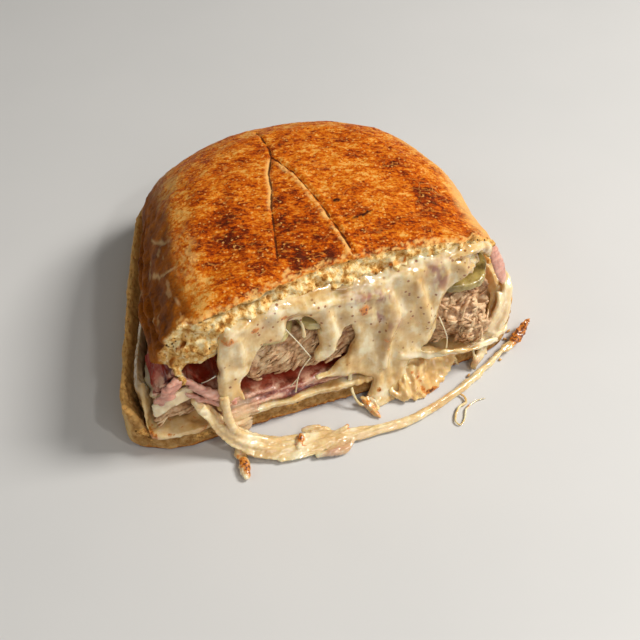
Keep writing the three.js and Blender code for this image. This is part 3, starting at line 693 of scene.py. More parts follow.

# %% [markdown]
# ## Crust and crumb
# Crust and crumb share one material, because they are one piece of dough. The crust goes from pale
# gold through orange brown to nearly black as it scorches. Fine pale flecks and hairlines, where the
# skin of the dough has cracked and blistered, break it up, and the flecks and pale dashes are partly
# painted glints where its wrinkles catch the light. The crumb is creamy, with darker pores.
# A crack is drawn from the distance to it, which stays sharp between the points of the mesh.

# %% Bread material
def bread_paint(name, stops, crumb_stops, shade, fold, crease):
    """Crust that browns by the scorch mask, and crumb where the crumb mask says."""
    paint = Paint(
        name, specular_ior_level=0.14, specular_tint=(1.0, 0.62, 0.3, 1), subsurface_weight=0.1,
        subsurface_scale=0.0015, subsurface_radius=(1.0, 0.5, 0.25), coat_weight=0.0,
    )
    crumb, scorch, side = paint.mask("crumb"), paint.mask("scorch"), paint.mask("side")
    fine, patches = paint.noise(0.9, 4, roughness=0.7), paint.noise(7, 4)
    streaks = paint.noise(1.7, 3, (2.0, 1, 1), -0.5, 0.65)
    burn = scorch + (patches - 0.5) * 1.2 + (fine - 0.5) * 1.3 + (streaks - 0.5) * 1.5
    crust = paint.tint(burn, stops)
    # Pale flecks and dashes: blisters, and painted glints where the wrinkles of the crust catch the light.
    flecks = 1 - paint.between(paint.cells(1.9, wander=0.6) + (fine - 0.5) * 0.5, 0.12, 0.26)
    crust = paint.mix(flecks * 0.7, crust, (240, 176, 96))
    dashes = paint.between(paint.noise(1.0, 2, (2.4, 1, 1), -0.5, 0.5), 0.58, 0.68)
    crust = paint.mix(dashes * 0.5, crust, (228, 146, 54))
    hair = 1 - paint.between(paint.cells(5.0, "DISTANCE_TO_EDGE", 5.0), 0.012, 0.04)
    crust = paint.mix(hair * paint.between(patches, 0.5, 0.65) * 0.45, crust, (228, 156, 74))
    pits = paint.between(fine + scorch * 0.1, 0.66, 0.72)
    crust = paint.mix(pits * 0.8, crust, (78, 28, 12))
    # The sides' tone; on the upper bread's left side it is partly painted shade.
    sheen = paint.tint(patches * 0.6 + fine * 0.4, [(0.38, shade), (0.66, fold)])
    sheen = paint.over(sheen, "crease", 0.8, crease)
    crust = paint.mix(side * 0.95, crust, sheen)
    crust = paint.mix(paint.mask("flap") * (0.6 + fine * 0.6), crust, (236, 184, 108))
    split = (1 - paint.between(paint.mask("split"), 0.04, 0.11)) * paint.mask("cracked")
    crust = paint.mix(split * 0.9, crust, (64, 26, 12))
    crust = paint.over(crust, "burnt", 1, (60, 24, 16))
    soft = paint.tint(paint.noise(2.6, 5, roughness=0.65), crumb_stops)
    soft = paint.over(soft, "shade", 0.7, (112, 82, 46))
    toasted = paint.tint(fine * 0.6 + patches * 0.4, [(0.36, (136, 72, 22)), (0.56, (240, 188, 108))])
    soft = paint.mix(paint.between(paint.mask("toast") + (fine - 0.5) * 0.8, 0.3, 0.7), soft, toasted)
    specks = 1 - paint.between(paint.cells(1.7), 0.18, 0.27)
    pepper = specks * paint.between(paint.mask("toast"), 0.15, 0.5)
    soft = paint.mix(pepper * 0.9, soft, (52, 26, 12))
    colour = paint.mix(crumb, crust, soft)
    roughness = 0.38 + crumb * 0.3 + fine * 0.2 + side * 0.12
    bump = fine * 0.6 + streaks * 0.4 + flecks * 0.25 + paint.cells(1.5) * crumb * 0.8
    return paint.done(colour, roughness, bump, 0.4)


BROWNING = [
    (0, (232, 172, 88)),
    (0.2, (220, 128, 28)),
    (0.42, (196, 88, 8)),
    (0.66, (140, 50, 8)),
    (0.9, (86, 28, 12)),
]
CRUMB = [(0.38, (166, 108, 46)), (0.48, (232, 186, 110)), (0.58, (252, 230, 176))]
CRUST_PAINT = bread_paint(
    "browned_bread", BROWNING, CRUMB, (94, 38, 4), (194, 112, 28), (236, 198, 142)
)
finished("bread_upper", upper, CRUST_PAINT, ["upper_bread"])

# %% [markdown]
# ## The lower half of the roll
# It is a shallow tray: a floor of crumb with a toasted base, and a wall round the crusty sides whose
# lip is thin and pale. The cut shows a dark line of crust at the bottom and soft crumb above it. A
# wall's normals that look towards the tray's middle tell its inside from its outside.

# %% Lumps and an even skin for the lower bread
bm = copy_of("lower_bread")
lumps(bm, 90, 25, (-44, 40), ([-44, 40], [0.7, 0.7]), (0, 0.9), (0.4, 0.9))
lower = remeshed(bm, 0.67, 2)
co, out = places(lower), outward(lower)
cut_side = 1 - ramp(behind_cut(co), 1.5, 5)
relaxed(lower, 24, (1 - 0.95 * cut_side) * ramp(co[:, 2], 0.2, 1.2))
print("lower bread:", len(lower.vertices), "points")

# %% Relief and masks of the lower bread
TRAY_MIDDLE = (-10, 16)
TRAY_RADIUS = 60
TOASTED = [(1.3, (-78, 9.5), (3.2, 2.2)), (1.1, (-30, 6), (3, 1.3)), (0.7, (-60, 4), (7, 1.5))]

co, out = places(lower), outward(lower)
x, y, z = co.T
behind = behind_cut(co)
wobble = grain(co, 4, 3, seed=21)
cut_open = ramp(-out[:, 1], 0.35, 0.65) * (1 - ramp(behind, 1 + wobble, 3.5 + wobble))
inward = -(out[:, 0] * (x - TRAY_MIDDLE[0]) + out[:, 1] * (y - TRAY_MIDDLE[1])) / TRAY_RADIUS
inside = ramp(inward, -0.1, 0.3) * ramp(z, 5, 7)
crumb = np.maximum(cut_open * ramp(z + 0.4 * wobble, 1.2, 2.6), ramp(out[:, 2], 0.1, 0.5) * ramp(z, 4, 6))
crumb = np.maximum(crumb, inside)
relief = 0.3 * grain(co, 9, 3, seed=22) + 0.16 * grain(co, 2.6, 3, seed=23)
relief += 0.55 * ramp(z, 3, 8) * grain(co, 5, 3, (2.2, 2.2, 0.7), seed=24)
torn = 0.6 * grain(co, 3.2, 4, (1.6, 1, 0.8), seed=25) - 1.1 * pores(co, 2.4, 26) - 0.6 * pores(co, 1.4, 27)
x, _, z = swell(lower, ((1 - crumb) * relief + crumb * torn) * ramp(z, 0.1, 1.5)).T
scorch = 0.95 * (1 - ramp(z, 0.4, 2.8)) + 0.3 * grain(co, 5, 3, seed=28)
toast = spots(x, z, TOASTED) + 0.5 * ramp(grain(co, 4, 3, seed=29), 0.3, 0.9)
lip = ramp(z, 9, 15) * ramp(out[:, 2], -0.1, 0.6)
side = (1 - crumb) * ramp(z, 1.5, 4) * (0.8 - 0.35 * ramp(x, -50, -20))
record_mask(lower, crumb=crumb * (1 - lip), scorch=scorch, side=side * (1 - lip), flap=lip)
record_mask(lower, toast=toast * cut_open, shade=0.4 * inside * ramp(z, 7, 12) * (1 - lip))
BASE_BROWNING = [(0, (228, 182, 112)), (0.4, (196, 122, 50)), (0.8, (128, 64, 20))]
BASE_CRUMB = [(0.36, (146, 102, 54)), (0.48, (176, 132, 76)), (0.64, (196, 156, 102))]
BASE_PAINT = bread_paint(
    "toasted_bread", BASE_BROWNING, BASE_CRUMB, (184, 146, 84), (230, 202, 144), (236, 214, 168)
)
finished("bread_lower", lower, BASE_PAINT, ["lower_bread"])

# %% [markdown]
# ## Cheese
# Melted cheese is one smooth, heavy liquid that has set: thick rounded edges, bulging drips and thin
# threads. Light goes a little way into it, which the subsurface settings give. Where the layer is thin
# the meat shows through, pink or amber, and grease makes its skin shine.

# %% Cheese material
CHEESE = Paint(
    "melted_cheese", specular_ior_level=0.5, subsurface_weight=0.45, subsurface_scale=0.0025,
    subsurface_radius=(1.0, 0.7, 0.35), coat_weight=1.0, coat_roughness=0.06,
)
cloud, fine = CHEESE.noise(7, 3), CHEESE.noise(1.1, 3)
flow = CHEESE.noise(2.4, 3, (1, 1, 4))
tone = CHEESE.tint(
    cloud * 0.6 + flow * 0.3 + fine * 0.1,
    [(0.36, (202, 156, 88)), (0.49, (228, 196, 136)), (0.62, (246, 232, 194))],
)
# Darker amber where the cheese is thin, deepest in the valleys of its wrinkles, where it is painted shade.
thin = CHEESE.between(CHEESE.noise(6, 2, (1, 1, 1.8), roughness=0.4), 0.5, 0.66) * CHEESE.mask("hollow")
tone = CHEESE.mix(thin * 0.8, tone, (172, 126, 70))
tone = CHEESE.over(tone, "pink", 0.85, (168, 104, 90))
tone = CHEESE.over(tone, "amber", 0.75, CHEESE.mix(cloud, (216, 156, 80), (252, 222, 154)))
# Painted shade where the cheese lies in a gap: under the crumb and between the halves of the bread.
tone = CHEESE.over(tone, "seam", 0.9, CHEESE.mix(cloud, (126, 94, 54), (204, 176, 130)))
toast = CHEESE.between(CHEESE.mask("toast") + (fine - 0.5) * 1.4, 0.45, 0.85)
tone = CHEESE.mix(toast, tone, (210, 128, 36))
char = CHEESE.between(CHEESE.mask("toast") + (fine - 0.5) * 1.6, 0.9, 1.15)
tone = CHEESE.mix(char, tone, (96, 42, 14))
speck = (1 - CHEESE.between(CHEESE.cells(2.5), 0.13, 0.24)) * CHEESE.mask("pepper")
tone = CHEESE.mix(speck * 0.9, tone, (146, 80, 24))
tone = CHEESE.over(tone, "pale", 1, (250, 238, 208))
CHEESE_PAINT = CHEESE.done(tone, 0.18 + fine * 0.12 + toast * 0.2, fine * 0.3 + cloud * 0.7 + flow * 0.3, 0.1)

# %% [markdown]
# ## The cheese that ran down the cut
# The sheet hangs from under the upper bread. It is thickest along its top and where drips end, and it
# wrinkles lengthwise as it runs. Fine threads cross its left hole, the pork and the pocket of ham.
# Soft spots say where it has browned, where ham shows through and where it is golden. Shade is
# painted in the valleys of its wrinkles, and as a dark line where it meets the crumb.

# %% Drips, rolls, threads and coloured places of the melted cheese
STRING = [(6.3, 16, 3.4), (13.3, 14, 3.8), (21.3, 12, 4.4), (30.6, 11, 4.8), (39.2, 10, 5), (44.9, 9, 4.6)]
DRIPS = [
    ([(-50, 44, 1.5), (-52.5, 36, 2.2), (-53.8, 26, 2.6), (-54.6, 18, 3.2)], [2.2, 2, 1.6, 1.2]),
    ([(-47, 44, 2), (-46.8, 36, 2.4), (-46.4, 29, 2)], [2.4, 1.9, 1.4]),
    ([(-17, 44, 2.2), (-15.6, 36, 3), (-15.4, 28, 3), (-18.6, 23.4, 2.6)], [2.6, 2.2, 2, 2]),
    ([(4, 43, 2.2), (5, 34, 3.2), (3, 24, 3.4), (1, 13, 3)], [2.6, 2.4, 2.6, 2.2]),
    ([(14, 44, 2.2), (16, 35, 3), (17.6, 27, 3.2), (17.6, 21, 2.6)], [2.4, 2.2, 2, 1.4]),
    ([(25.5, 45, 2.2), (21.4, 37, 2.8), (19.6, 29, 2.8), (19.4, 22, 2.2)], [2.2, 2, 1.6, 1.2]),
    ([(32, 48, 1.8), (27.4, 42, 2.4), (23.2, 36, 2.4)], [2.2, 1.7, 1.2]),
    ([(-30, 45.5, 2), (-22, 44.5, 2.4), (-10, 43, 2.6), (2, 42.6, 2.8)], [1.8, 2.2, 2.2, 2.4]),
    ([(0, 16, 2), (-1.3, 12, 2.2), (-0.8, 8, 2.6), (-2.7, 4.5, 3.4), (-5, 2.2, 3.8)], [1.8, 2, 2, 1.7, 1]),
    ([(6.5, 14, 1.6), (7, 10, 2.2), (5.7, 6.5, 3), (1.3, 3.6, 4.2), (-3.7, 1.8, 5)], [1.6, 1.8, 1.8, 1.6, 1]),
    ([(3, 15, 1.6), (2.8, 10, 1.8), (1.8, 6.5, 2.4), (-1.2, 4, 3.6)], [2.2, 2.4, 2.2, 1.6]),
    (STRING, [1.5, 1.1, 0.95, 0.9, 0.85, 0.8]),
]
LEFT_ROLL = [1.2, 2, 2.2, 2, 1.2]
RIGHT_ROLL = [1, 1.8, 2.2, 2, 1.6]
TOP_ROLLS = [
    ([(-51, 44.5, 0.4), (-44, 46.8, 0.6), (-34, 48, 0.6), (-22, 48, 0.6), (-9, 47, 0.8)], LEFT_ROLL),
    ([(1, 46, 0.8), (8, 47.2, 0.8), (18, 48.4, 0.6), (28, 49.6, 0.4), (37, 50.4, 0.2)], RIGHT_ROLL),
    ([(30, 49, 1.2), (36, 48.4, 1.8), (41, 46, 2), (43.6, 41, 1.2)], [1.8, 2.5, 2.3, 1]),
]
MELT_EDGE = ([-50, -38, -22, -8, 6, 24, 36], [45.4, 47.8, 48.2, 47.2, 47.4, 49.2, 50.2])
THREADS = [
    ([(-33.6, 43.6, 2), (-32.2, 42.4, 2.4), (-27.6, 34.1, 3), (-23.5, 25.6, 3)], [0.28, 0.2, 0.25]),
    ([(-23.5, 25.6, 3), (-27.9, 20.6, 3), (-29.7, 12.6, 2.4)], [0.25, 0.18, 0.3]),
    ([(-28.2, 18.6, 2.6), (-30.9, 15.3, 2)], [0.18, 0.25]),
    ([(20.6, 29, 5), (22, 22.1, 7), (22.9, 15.2, 5.4)], [0.25, 0.18, 0.3]),
    ([(-54.6, 29.6, 0.6), (-57.1, 28.5, 0.6), (-59, 26.9, 0.6)], [0.3, 0.16, 0.25]),
]
BROWNED = [
    (1.1, (-4.3, 38.5), (2, 2.6)),
    (1.1, (-41, 45), (1.6, 1.2)),
    (1, (-31, 45), (2.2, 1.1)),
    (1.1, (-2, 5.4), (1.3, 1.2)),
    (0.9, (-50, 45), (3, 2)),
    (0.9, (43.4, 42), (0.8, 3)),
    (0.6, (14, 27), (1.6, 1.6)),
    (0.8, (11.4, 30.5), (1, 0.8)),
    (0.8, (1.7, 25.3), (1, 0.8)),
    (0.8, (2.5, 20.9), (1, 0.8)),
    (0.8, (-7.1, 45.6), (1, 0.8)),
]
HAM_SHOWS = [
    (1, (22, 43), (2.5, 5)),
    (1, (-2, 43), (6, 2.4)),
    (1, (3, 41), (3, 2)),
    (1, (0.8, 34), (3, 3)),
    (1, (5.5, 30), (2.4, 3)),
    (1, (19, 47.4), (3, 1.4)),
]
GOLDEN = [(1, (-50, 30), (3, 8)), (1, (3.4, 8), (3, 2.2)), (0.8, (10, 24), (7, 7))]


def hangs_on(co):
    """1 on the sheet that hangs down the cut, less near the ground and 0 behind the cut."""
    z = co[:, 2]
    return (1 - ramp(behind_cut(co), 1, 5)) * (1 - ramp(z, 47, 51)) * (0.3 + 0.7 * ramp(z, 9, 13))


# %% Sculpt the melted cheese
bm = copy_of("cheese_upper")
tubes(bm, on_cut(DRIPS + TOP_ROLLS))
lumps(bm, 70, 37, (-50, 38), MELT_EDGE, (-0.8, 2), (0.8, 2))
melt = remeshed(bm, 0.53, 6)
co = places(melt)
wrinkles = 0.3 * grain(co, 3.2, 1, (1, 1, 2.4), seed=31) + 1.2 * grain(co, 8, 2, (1, 1, 1.6), seed=32)
wrinkles += 0.5 * grain(co, 4.5, 1, seed=40)
swell(melt, hangs_on(co) * wrinkles + 0.04 * grain(co, 1.6, 2, seed=33), 0.1)
threads_from = len(melt.vertices)
melt = with_strings(melt, on_cut(THREADS))
print("melted cheese:", threads_from, "points, and", len(melt.vertices) - threads_from, "on its threads")

# %% Colour the melted cheese
co = places(melt)
x, _, z = co.T
toast = spots(x, z, BROWNED) + 0.4 * ramp(grain(co, 3, 3, seed=34), 0.45, 0.9)
pink = spots(x, z, HAM_SHOWS) * ramp(grain(co, 3, 3, (0.7, 1, 2), seed=35), -0.3, 0.2)
pink += 1.2 * spot(x, z, (-28.8, 42.2), (1.6, 1.2))
amber = spots(x, z, GOLDEN) * ramp(grain(co, 4, 2, seed=36), -0.3, 0.3)
# Painted shade in the valleys of the wrinkles on the hanging sheet.
hollow = hangs_on(co) * (0.4 + 0.6 * ramp(-grain(co, 8, 2, (1, 1, 1.6), seed=32), -0.1, 0.4))
# A dark line where the sheet meets the crumb: painted shade in the gap.
slot = spot(x, z, (-4.6, 47), (4.8, 0.8)) * ramp(grain(co, 2, 2, seed=39), -0.4, 0.0)
string_gap = away_from(x, z, [point[:2] for point in STRING]) + 2 * ramp(2.4 + behind_cut(co), 0, 1)
pale = np.maximum(0.6 * (np.arange(len(co)) >= threads_from), 0.6 * (1 - ramp(string_gap, 0.8, 1.7)))
pepper = ramp(z, 14, 22) * ramp(grain(co, 9, 1, seed=38), -0.35, 0.1)
record_mask(melt, toast=toast, pink=pink, amber=amber, pale=pale, pepper=pepper, seam=slot, hollow=hollow)
finished("cheese_melted", melt, CHEESE_PAINT, ["cheese_upper"])

# %% [markdown]
# ## The lower cheese and the slice in the corner
# The lower slice shows as a thin pale line on the bread and climbs the wall inside, where it is
# painted a darker dull tan, as shade in the gap between the halves, strongest on the left. At the
# right it has spilled to the ground in crumpled folds, thin and amber with a crisp rim. The slice in
# the corner keeps its pale cut edges.

# %% Spills of the lower cheese
SIDE_DRAPE = [(56.2, 25, -4), (54.4, 23.6, 0), (52, 20.4, 2.6), (47.6, 15.6, 4.2), (42.4, 11.4, 4.4)]
SPILLS = [
    (SIDE_DRAPE, [1.2, 1.5, 1.3, 0.8]),
    ([(53, 23, -0.5), (50, 17.6, 1.6), (45.4, 12.6, 2.6), (40, 9.4, 3.4)], [1, 1.2, 1, 0.7]),
    ([(49, 23, -0.8), (47.4, 20, 1.6), (44.4, 16.6, 2.6), (41, 12.6, 3.4)], [0.8, 1.3, 1.3, 1]),
    ([(52.6, 25, -0.8), (51.6, 22, 1.2), (49.4, 17.6, 2.4), (44, 12.6, 3.4)], [1, 1.4, 1.6, 1.1]),
    ([(34.4, 8.4, 3.4), (34.6, 6.6, 4.6), (35.2, 4, 5)], [0.6, 0.6, 0.8]),
    ([(20, 9, 1.2), (17, 5.5, 4), (13, 1.6, 7.4)], [1, 1.3, 0.8]),
    ([(24, 9.5, 0.6), (22, 5, 2.6), (19.6, 1.4, 4.6)], [0.8, 1.1, 0.8]),
    ([(27, 9, 0.4), (28.4, 5, 1.6), (30, 1.4, 2.4)], [0.7, 1, 0.8]),
    ([(21, 11, 1.2), (13, 8, 3.6), (7.4, 3.6, 7), (5.4, 1.2, 9.6)], [0.7, 1.1, 1.2, 0.8]),
    ([(17, 10, 2.4), (11.5, 6.2, 5.2), (9.4, 2.2, 8.8)], [1.2, 1.6, 1.2]),
    ([(11, 8.6, 2.8), (6.6, 5, 5.6), (6.2, 2, 9.2)], [1.1, 1.6, 1.2]),
    ([(8, 7, 2.8), (2.6, 4.6, 4.4), (2.9, 2.8, 6.4), (4.6, 1.6, 8.8)], [0.9, 1.2, 1.3, 0.8]),
]

# %% Sculpt the lower cheese
base_cheese = body(["cheese_lower"], on_cut(SPILLS), 0.62, 5)
co = places(base_cheese)
x, _, z = co.T
crumple = ramp(-behind_cut(co), 0.5, 2.5) * (1 - ramp(z, 12, 15)) * ramp(x, -20, -5)
crumple *= 1.5 * (0.3 - np.abs(grain(co, 4.4, 2, (0.8, 1, 1.8), seed=48)))
co = swell(base_cheese, crumple + 0.3 * grain(co, 5, 3, seed=41) + 0.15 * grain(co, 1.8, 3, seed=42), 0.1)
x, _, z = co.T
proud = -behind_cut(co)
spilled = ramp(proud, 1, 3) * (1 - ramp(z, 9, 13)) * ramp(x, -20, -5)
rim = spilled * ramp(grain(co, 3, 3, seed=43) + 0.4 * (1 - ramp(z, 0.8, 2.5)), 0.4, 0.9)
# Painted shade on the cheese in the gap between the halves, strongest on the left.
seam = ramp(-proud, 2.5, 6) * ramp(z, 8, 11) * (0.1 + 0.9 * ramp(-x, 40, 55))
drape = ramp(x, 32, 36) * ramp(proud, -0.5, 1.5)
toast = rim * (1 - 0.3 * drape) + 0.4 * ramp(grain(co, 4, 3, seed=44), 0.5, 0.9)
toast += spot(x, z, (35.2, 4), (1.3, 1.3)) + spot(x, z, (12.6, 2.6), (1.2, 1.4)) * spilled
corner = ramp(-x, 54, 60) * (1 - ramp(z, 10, 13))
toast += 0.9 * spot(x, z, (11, 7.6), (3, 2)) * spilled * ramp(grain(co, 1.6, 2, seed=49), -0.2, 0.3)
toast += corner * (0.7 * ramp(grain(co, 4, 3, seed=47), 0.1, 0.5) + spot(x, z, (-78, 9), (3, 3)))
amber = spilled * (1 - 0.8 * drape) + 0.6 * corner + 0.8 * spot(x, z, (22, 10), (9, 3))
amber = np.maximum(amber, 0.8 * ramp(-proud, 2.5, 6) * ramp(x, -50, -35))
record_mask(base_cheese, toast=toast, amber=amber, seam=seam, pale=0.4 * drape)
finished("cheese_base", base_cheese, CHEESE_PAINT, ["cheese_lower"])

# %% The slice in the corner
EDGES = [
    ([(-74.8, 21 - drop, 0.2), (-69, 25 - drop, 0.6), (-62, 25.6 - drop, 0)], [1.2, 1.3, 1.2])
    for drop in (0, 1.6, 3.2)
]
corner_cheese = body(["cheese_corner"], on_cut(EDGES), 0.45, 6)
co = places(corner_cheese)
swell(corner_cheese, 0.35 * grain(co, 4, 3, seed=45))
record_mask(corner_cheese, toast=0.5 * ramp(grain(co, 4, 3, seed=46), 0.5, 0.9), pale=np.full(len(co), 0.4))
finished("cheese_slice", corner_cheese, CHEESE_PAINT, ["cheese_corner"])

# %% [markdown]
# ## The long strand
# It was pulled out as the halves were parted: two roots that meet in a web of parallel strings, a thin
# tail that curves to the right, and a tip that crisped on the grill. Shreds of meat stuck to it.

# %% Strings and shreds of the long strand
ROOT_LEFT = [(-61.5, -31.5, 20.5), (-57.5, -35, 12), (-51.5, -40.5, 5), (-42, -47.2, 2.6)]
ROOT_MIDDLE = [(-59.8, -30.8, 19), (-55.2, -34, 10.5), (-49, -39.4, 4.6), (-40, -45.4, 2.8)]
ROOT_RIGHT = [(-54.2, -33.6, 23), (-54.4, -36.6, 14), (-51.5, -38.6, 7.4), (-43, -42.6, 3.2)]
TAIL_START = [(-30, -50.5, 2.6), (-14, -54.2, 2.3), (2, -57.2, 2.1)]
STRINGS = [
    (ROOT_LEFT + [(-31, -51, 2.2), (-16, -54.2, 2)], [1.5, 1.7, 1.5, 1.2, 0.9, 0.7]),
    (ROOT_MIDDLE + [(-30, -48.6, 2.4), (-18, -52, 2)], [1.3, 1.5, 1.3, 1, 0.8, 0.6]),
    (ROOT_RIGHT + [(-32, -46, 2.2), (-8, -54.8, 1.8)], [1.6, 1.5, 1.4, 1.1, 0.9, 0.7]),
    (TAIL_START + [(20, -55.6, 2), (36, -51.8, 2.2), (50, -47.4, 3.2)], [0.8, 0.7, 0.6]),
]
SHREDS = [
    ([(-33.5, -45.5, 3.2), (-34.5, -47.5, 4.2), (-37, -50, 3.4)], [0.7, 1.3, 0.6]),
    ([(-33, -54.4, 1.4), (-28, -55.6, 1.8), (-23, -56.6, 1.4), (-18.6, -54.8, 2)], [0.6, 1.3, 1.5, 0.5]),
    ([(-32, -43.4, 2.2), (-28.7, -44.6, 3.2), (-26, -45.8, 3.2)], [0.7, 0.9, 0.6]),
    ([(-24, -50, 2.6), (-20.4, -50.6, 3.4), (-18, -50.2, 3.8)], [0.6, 0.9, 0.7]),
]
CRISP_SPOTS = [
    (1.1, (-54.6, -47), (2.2, 6)),
    (1, (-26, -44.8), (1.2, 1.2)),
    (0.9, (-18.4, -50.4), (1.4, 1.2)),
]
MEAT_SPOTS = [(1, (-25, -56.4), (7, 1.6)), (1, (-29.5, -42.6), (3.5, 1.6))]

# %% Sculpt the long strand
strand = body(["cheese_strand"], STRINGS + SHREDS, 0.36, 5)
co = places(strand)
crisp = 0.15 + 0.6 * ramp(co[:, 0], 48, 53)
fibres = 0.32 * grain(co, 1.6, 2, (7, 1, 1), seed=51)
co = swell(strand, fibres + crisp * grain(co, 2.6, 3, seed=52), 0.05)
x, y, z = co.T
toast = spots(x, y, CRISP_SPOTS)
toast += 1.2 * spot(x, y, (-34.8, -47.6), (1.8, 3.0)) * ramp(z, 2.4, 3.4)
toast += 1.6 * ramp(x, 49, 55) + 0.4 * ramp(grain(co, 3, 3, seed=53), 0.6, 0.95)
pink = spots(x, y, MEAT_SPOTS)
# Painted shade: warmer amber in the grooves between the strand's fibres.
grooves = 0.45 * ramp(-grain(co, 1.6, 2, (7, 1, 1), seed=51), 0.1, 0.5) * (x < 0)
record_mask(strand, toast=toast, pink=pink, amber=grooves, pale=0.12 * (1 - ramp(toast, 0.2, 0.6)))
finished("cheese_string", strand, CHEESE_PAINT, ["cheese_strand"])

# %% [markdown]
# ## Ham
# Thin cooked ham: pale pink, moist, and rumpled where the halves were pressed. Its slices lie on each
# other, so the cut shows them as stripes with darker gaps between, painted as shade. Ham deeper
# behind the cut is painted dark red as shade.

# %% Ham
HAM = Paint(
    "moist_ham", specular_ior_level=0.5, subsurface_weight=0.25, subsurface_scale=0.003,
    subsurface_radius=(1.0, 0.4, 0.3), coat_weight=0.2, coat_roughness=0.15,
)
cloud, fine = HAM.noise(5, 3), HAM.noise(0.9, 3)
# The darker stripes are painted shade in the gaps between slices, mixed with the ham's own uneven tone.
stripes = HAM.noise(1.3, 2, (7, 7, 1), roughness=0.4)
tone = HAM.tint(
    stripes * 0.55 + cloud * 0.3 + fine * 0.15,
    [(0.42, (84, 26, 18)), (0.49, (160, 86, 64)), (0.57, (232, 186, 156))],
)
tone = HAM.over(tone, "flap", 1, HAM.mix(cloud, (206, 164, 116), (236, 208, 164)))
tone = HAM.over(tone, "plain", 0.75, HAM.mix(cloud, (212, 140, 118), (238, 186, 164)))
# Painted shade: ham that lies deeper behind the cut is dark red.
tone = HAM.over(tone, "deep", 0.72, (180, 52, 22))
HAM_PAINT = HAM.done(tone, 0.26 + fine * 0.18, stripes + fine * 0.4, 0.35)

POCKET_FOLDS = [
    ([(-66.5, 32.6, 1.4), (-70.6, 28.6, 2), (-74.4, 24, 1.2)], [0.8, 1.2, 0.8]),
    ([(-65, 31.6, 1.4), (-69, 27.4, 2), (-73, 22.8, 1.2)], [0.8, 1.2, 0.8]),
    ([(-64.5, 31, 1), (-59, 25.5, 2), (-51, 20.5, 2.4)], [0.8, 1.2, 1.2]),
    ([(-63.5, 27.6, 1.2), (-57.5, 22.8, 2.4), (-50, 18.6, 2.8)], [0.8, 1.3, 1.2]),
    ([(-65, 25.2, 1), (-60, 21.2, 2.2), (-54, 17.6, 2.6)], [0.7, 1.1, 0.9]),
]

for name, node, voxel in [
    ("ham_base", "ham_lower", 0.6),
    ("ham_pocket", "ham_fold", 0.4),
    ("ham_top", "ham_upper", 0.6),
    ("ham_strip", "ham_side", 0.35),
]:
    ham = body([node], on_cut(POCKET_FOLDS if name == "ham_pocket" else []), voxel, 4)
    co = places(ham)
    rough = 0.3 if name == "ham_strip" else 1.0
    layers = rough * (np.abs(grain(co, 1.9, 2, (6, 6, 1), seed=61)) - 0.3)
    rumples = 0.4 * rough * grain(co, 3.5, 3, (2.5, 1, 0.7), seed=62)
    co = swell(ham, layers + rumples + 0.1 * grain(co, 1.2, 2, seed=63))
    x, _, z = co.T
    # Painted shade on ham that lies behind the cut.
    deep = ramp(behind_cut(co), 2, 6) * (name != "ham_strip")
    plain = (name == "ham_strip") + (name == "ham_pocket") * ramp(-behind_cut(co), 0.4, 1.6)
    record_mask(ham, flap=1.2 * spot(x, z, (-49, 7), (6, 7)) * (z < 20), deep=deep, plain=plain)
    finished(name, ham, HAM_PAINT, [node])

# %% [markdown]
# ## Roast pork
# Pulled pork is a mass of long muscle fibres in bundles. The solids give its bulk. Rounded ridges with
# sharp furrows between them run along the grain, and loose shreds lie over it. Each has few faces.

# %% Pork material
PORK = Paint(
    "torn_pork", specular_ior_level=0.5, subsurface_weight=0.15, subsurface_scale=0.002,
    subsurface_radius=(1.0, 0.5, 0.35), coat_weight=0.15, coat_roughness=0.2,
)
cloud, fine = PORK.noise(4, 4), PORK.noise(0.8, 3)
tone = PORK.tint(
    cloud * 0.65 + fine * 0.35,
    [(0.32, (170, 118, 76)), (0.47, (210, 166, 122)), (0.62, (236, 204, 160))],
)
# Painted shade in the furrows between bundles of fibres.
tone = PORK.over(tone, "furrow", 0.7, (116, 66, 38))
tone = PORK.over(tone, "toast", 1, (156, 86, 34))
PORK_PAINT = PORK.done(tone, 0.36 + fine * 0.2, cloud + fine * 0.5, 0.3)

# %% Sculpt the pork and lay its shreds
FIBRE_CUTS = 3


def fibre(bm, path, across, lift, thick):
    """Adds one shred along five points. It is flat where it lies and thin at its ends."""
    start = len(bm.verts)
    bmesh.ops.create_cone(bm, cap_ends=True, segments=5, radius1=1, radius2=1, depth=2)
    bm.verts.ensure_lookup_table()
    edges = {edge for vert in bm.verts[start:] for edge in vert.link_edges}
    long_edges = [edge for edge in edges if abs(edge.verts[0].co.z - edge.verts[1].co.z) > 1]
    bmesh.ops.subdivide_edges(bm, edges=long_edges, cuts=FIBRE_CUTS)
    bm.verts.ensure_lookup_table()
    for vert in bm.verts[start:]:
        share = (vert.co.z + 1) / 2 * (FIBRE_CUTS + 1)
        i = min(int(share), FIBRE_CUTS)
        spine = path[i].lerp(path[i + 1], share - i)
        width = thick * (0.4 + 0.6 * math.sin(math.pi * (0.12 + 0.19 * share)))
        vert.co = spine + across * vert.co.x * width + lift * vert.co.y * width * 0.7


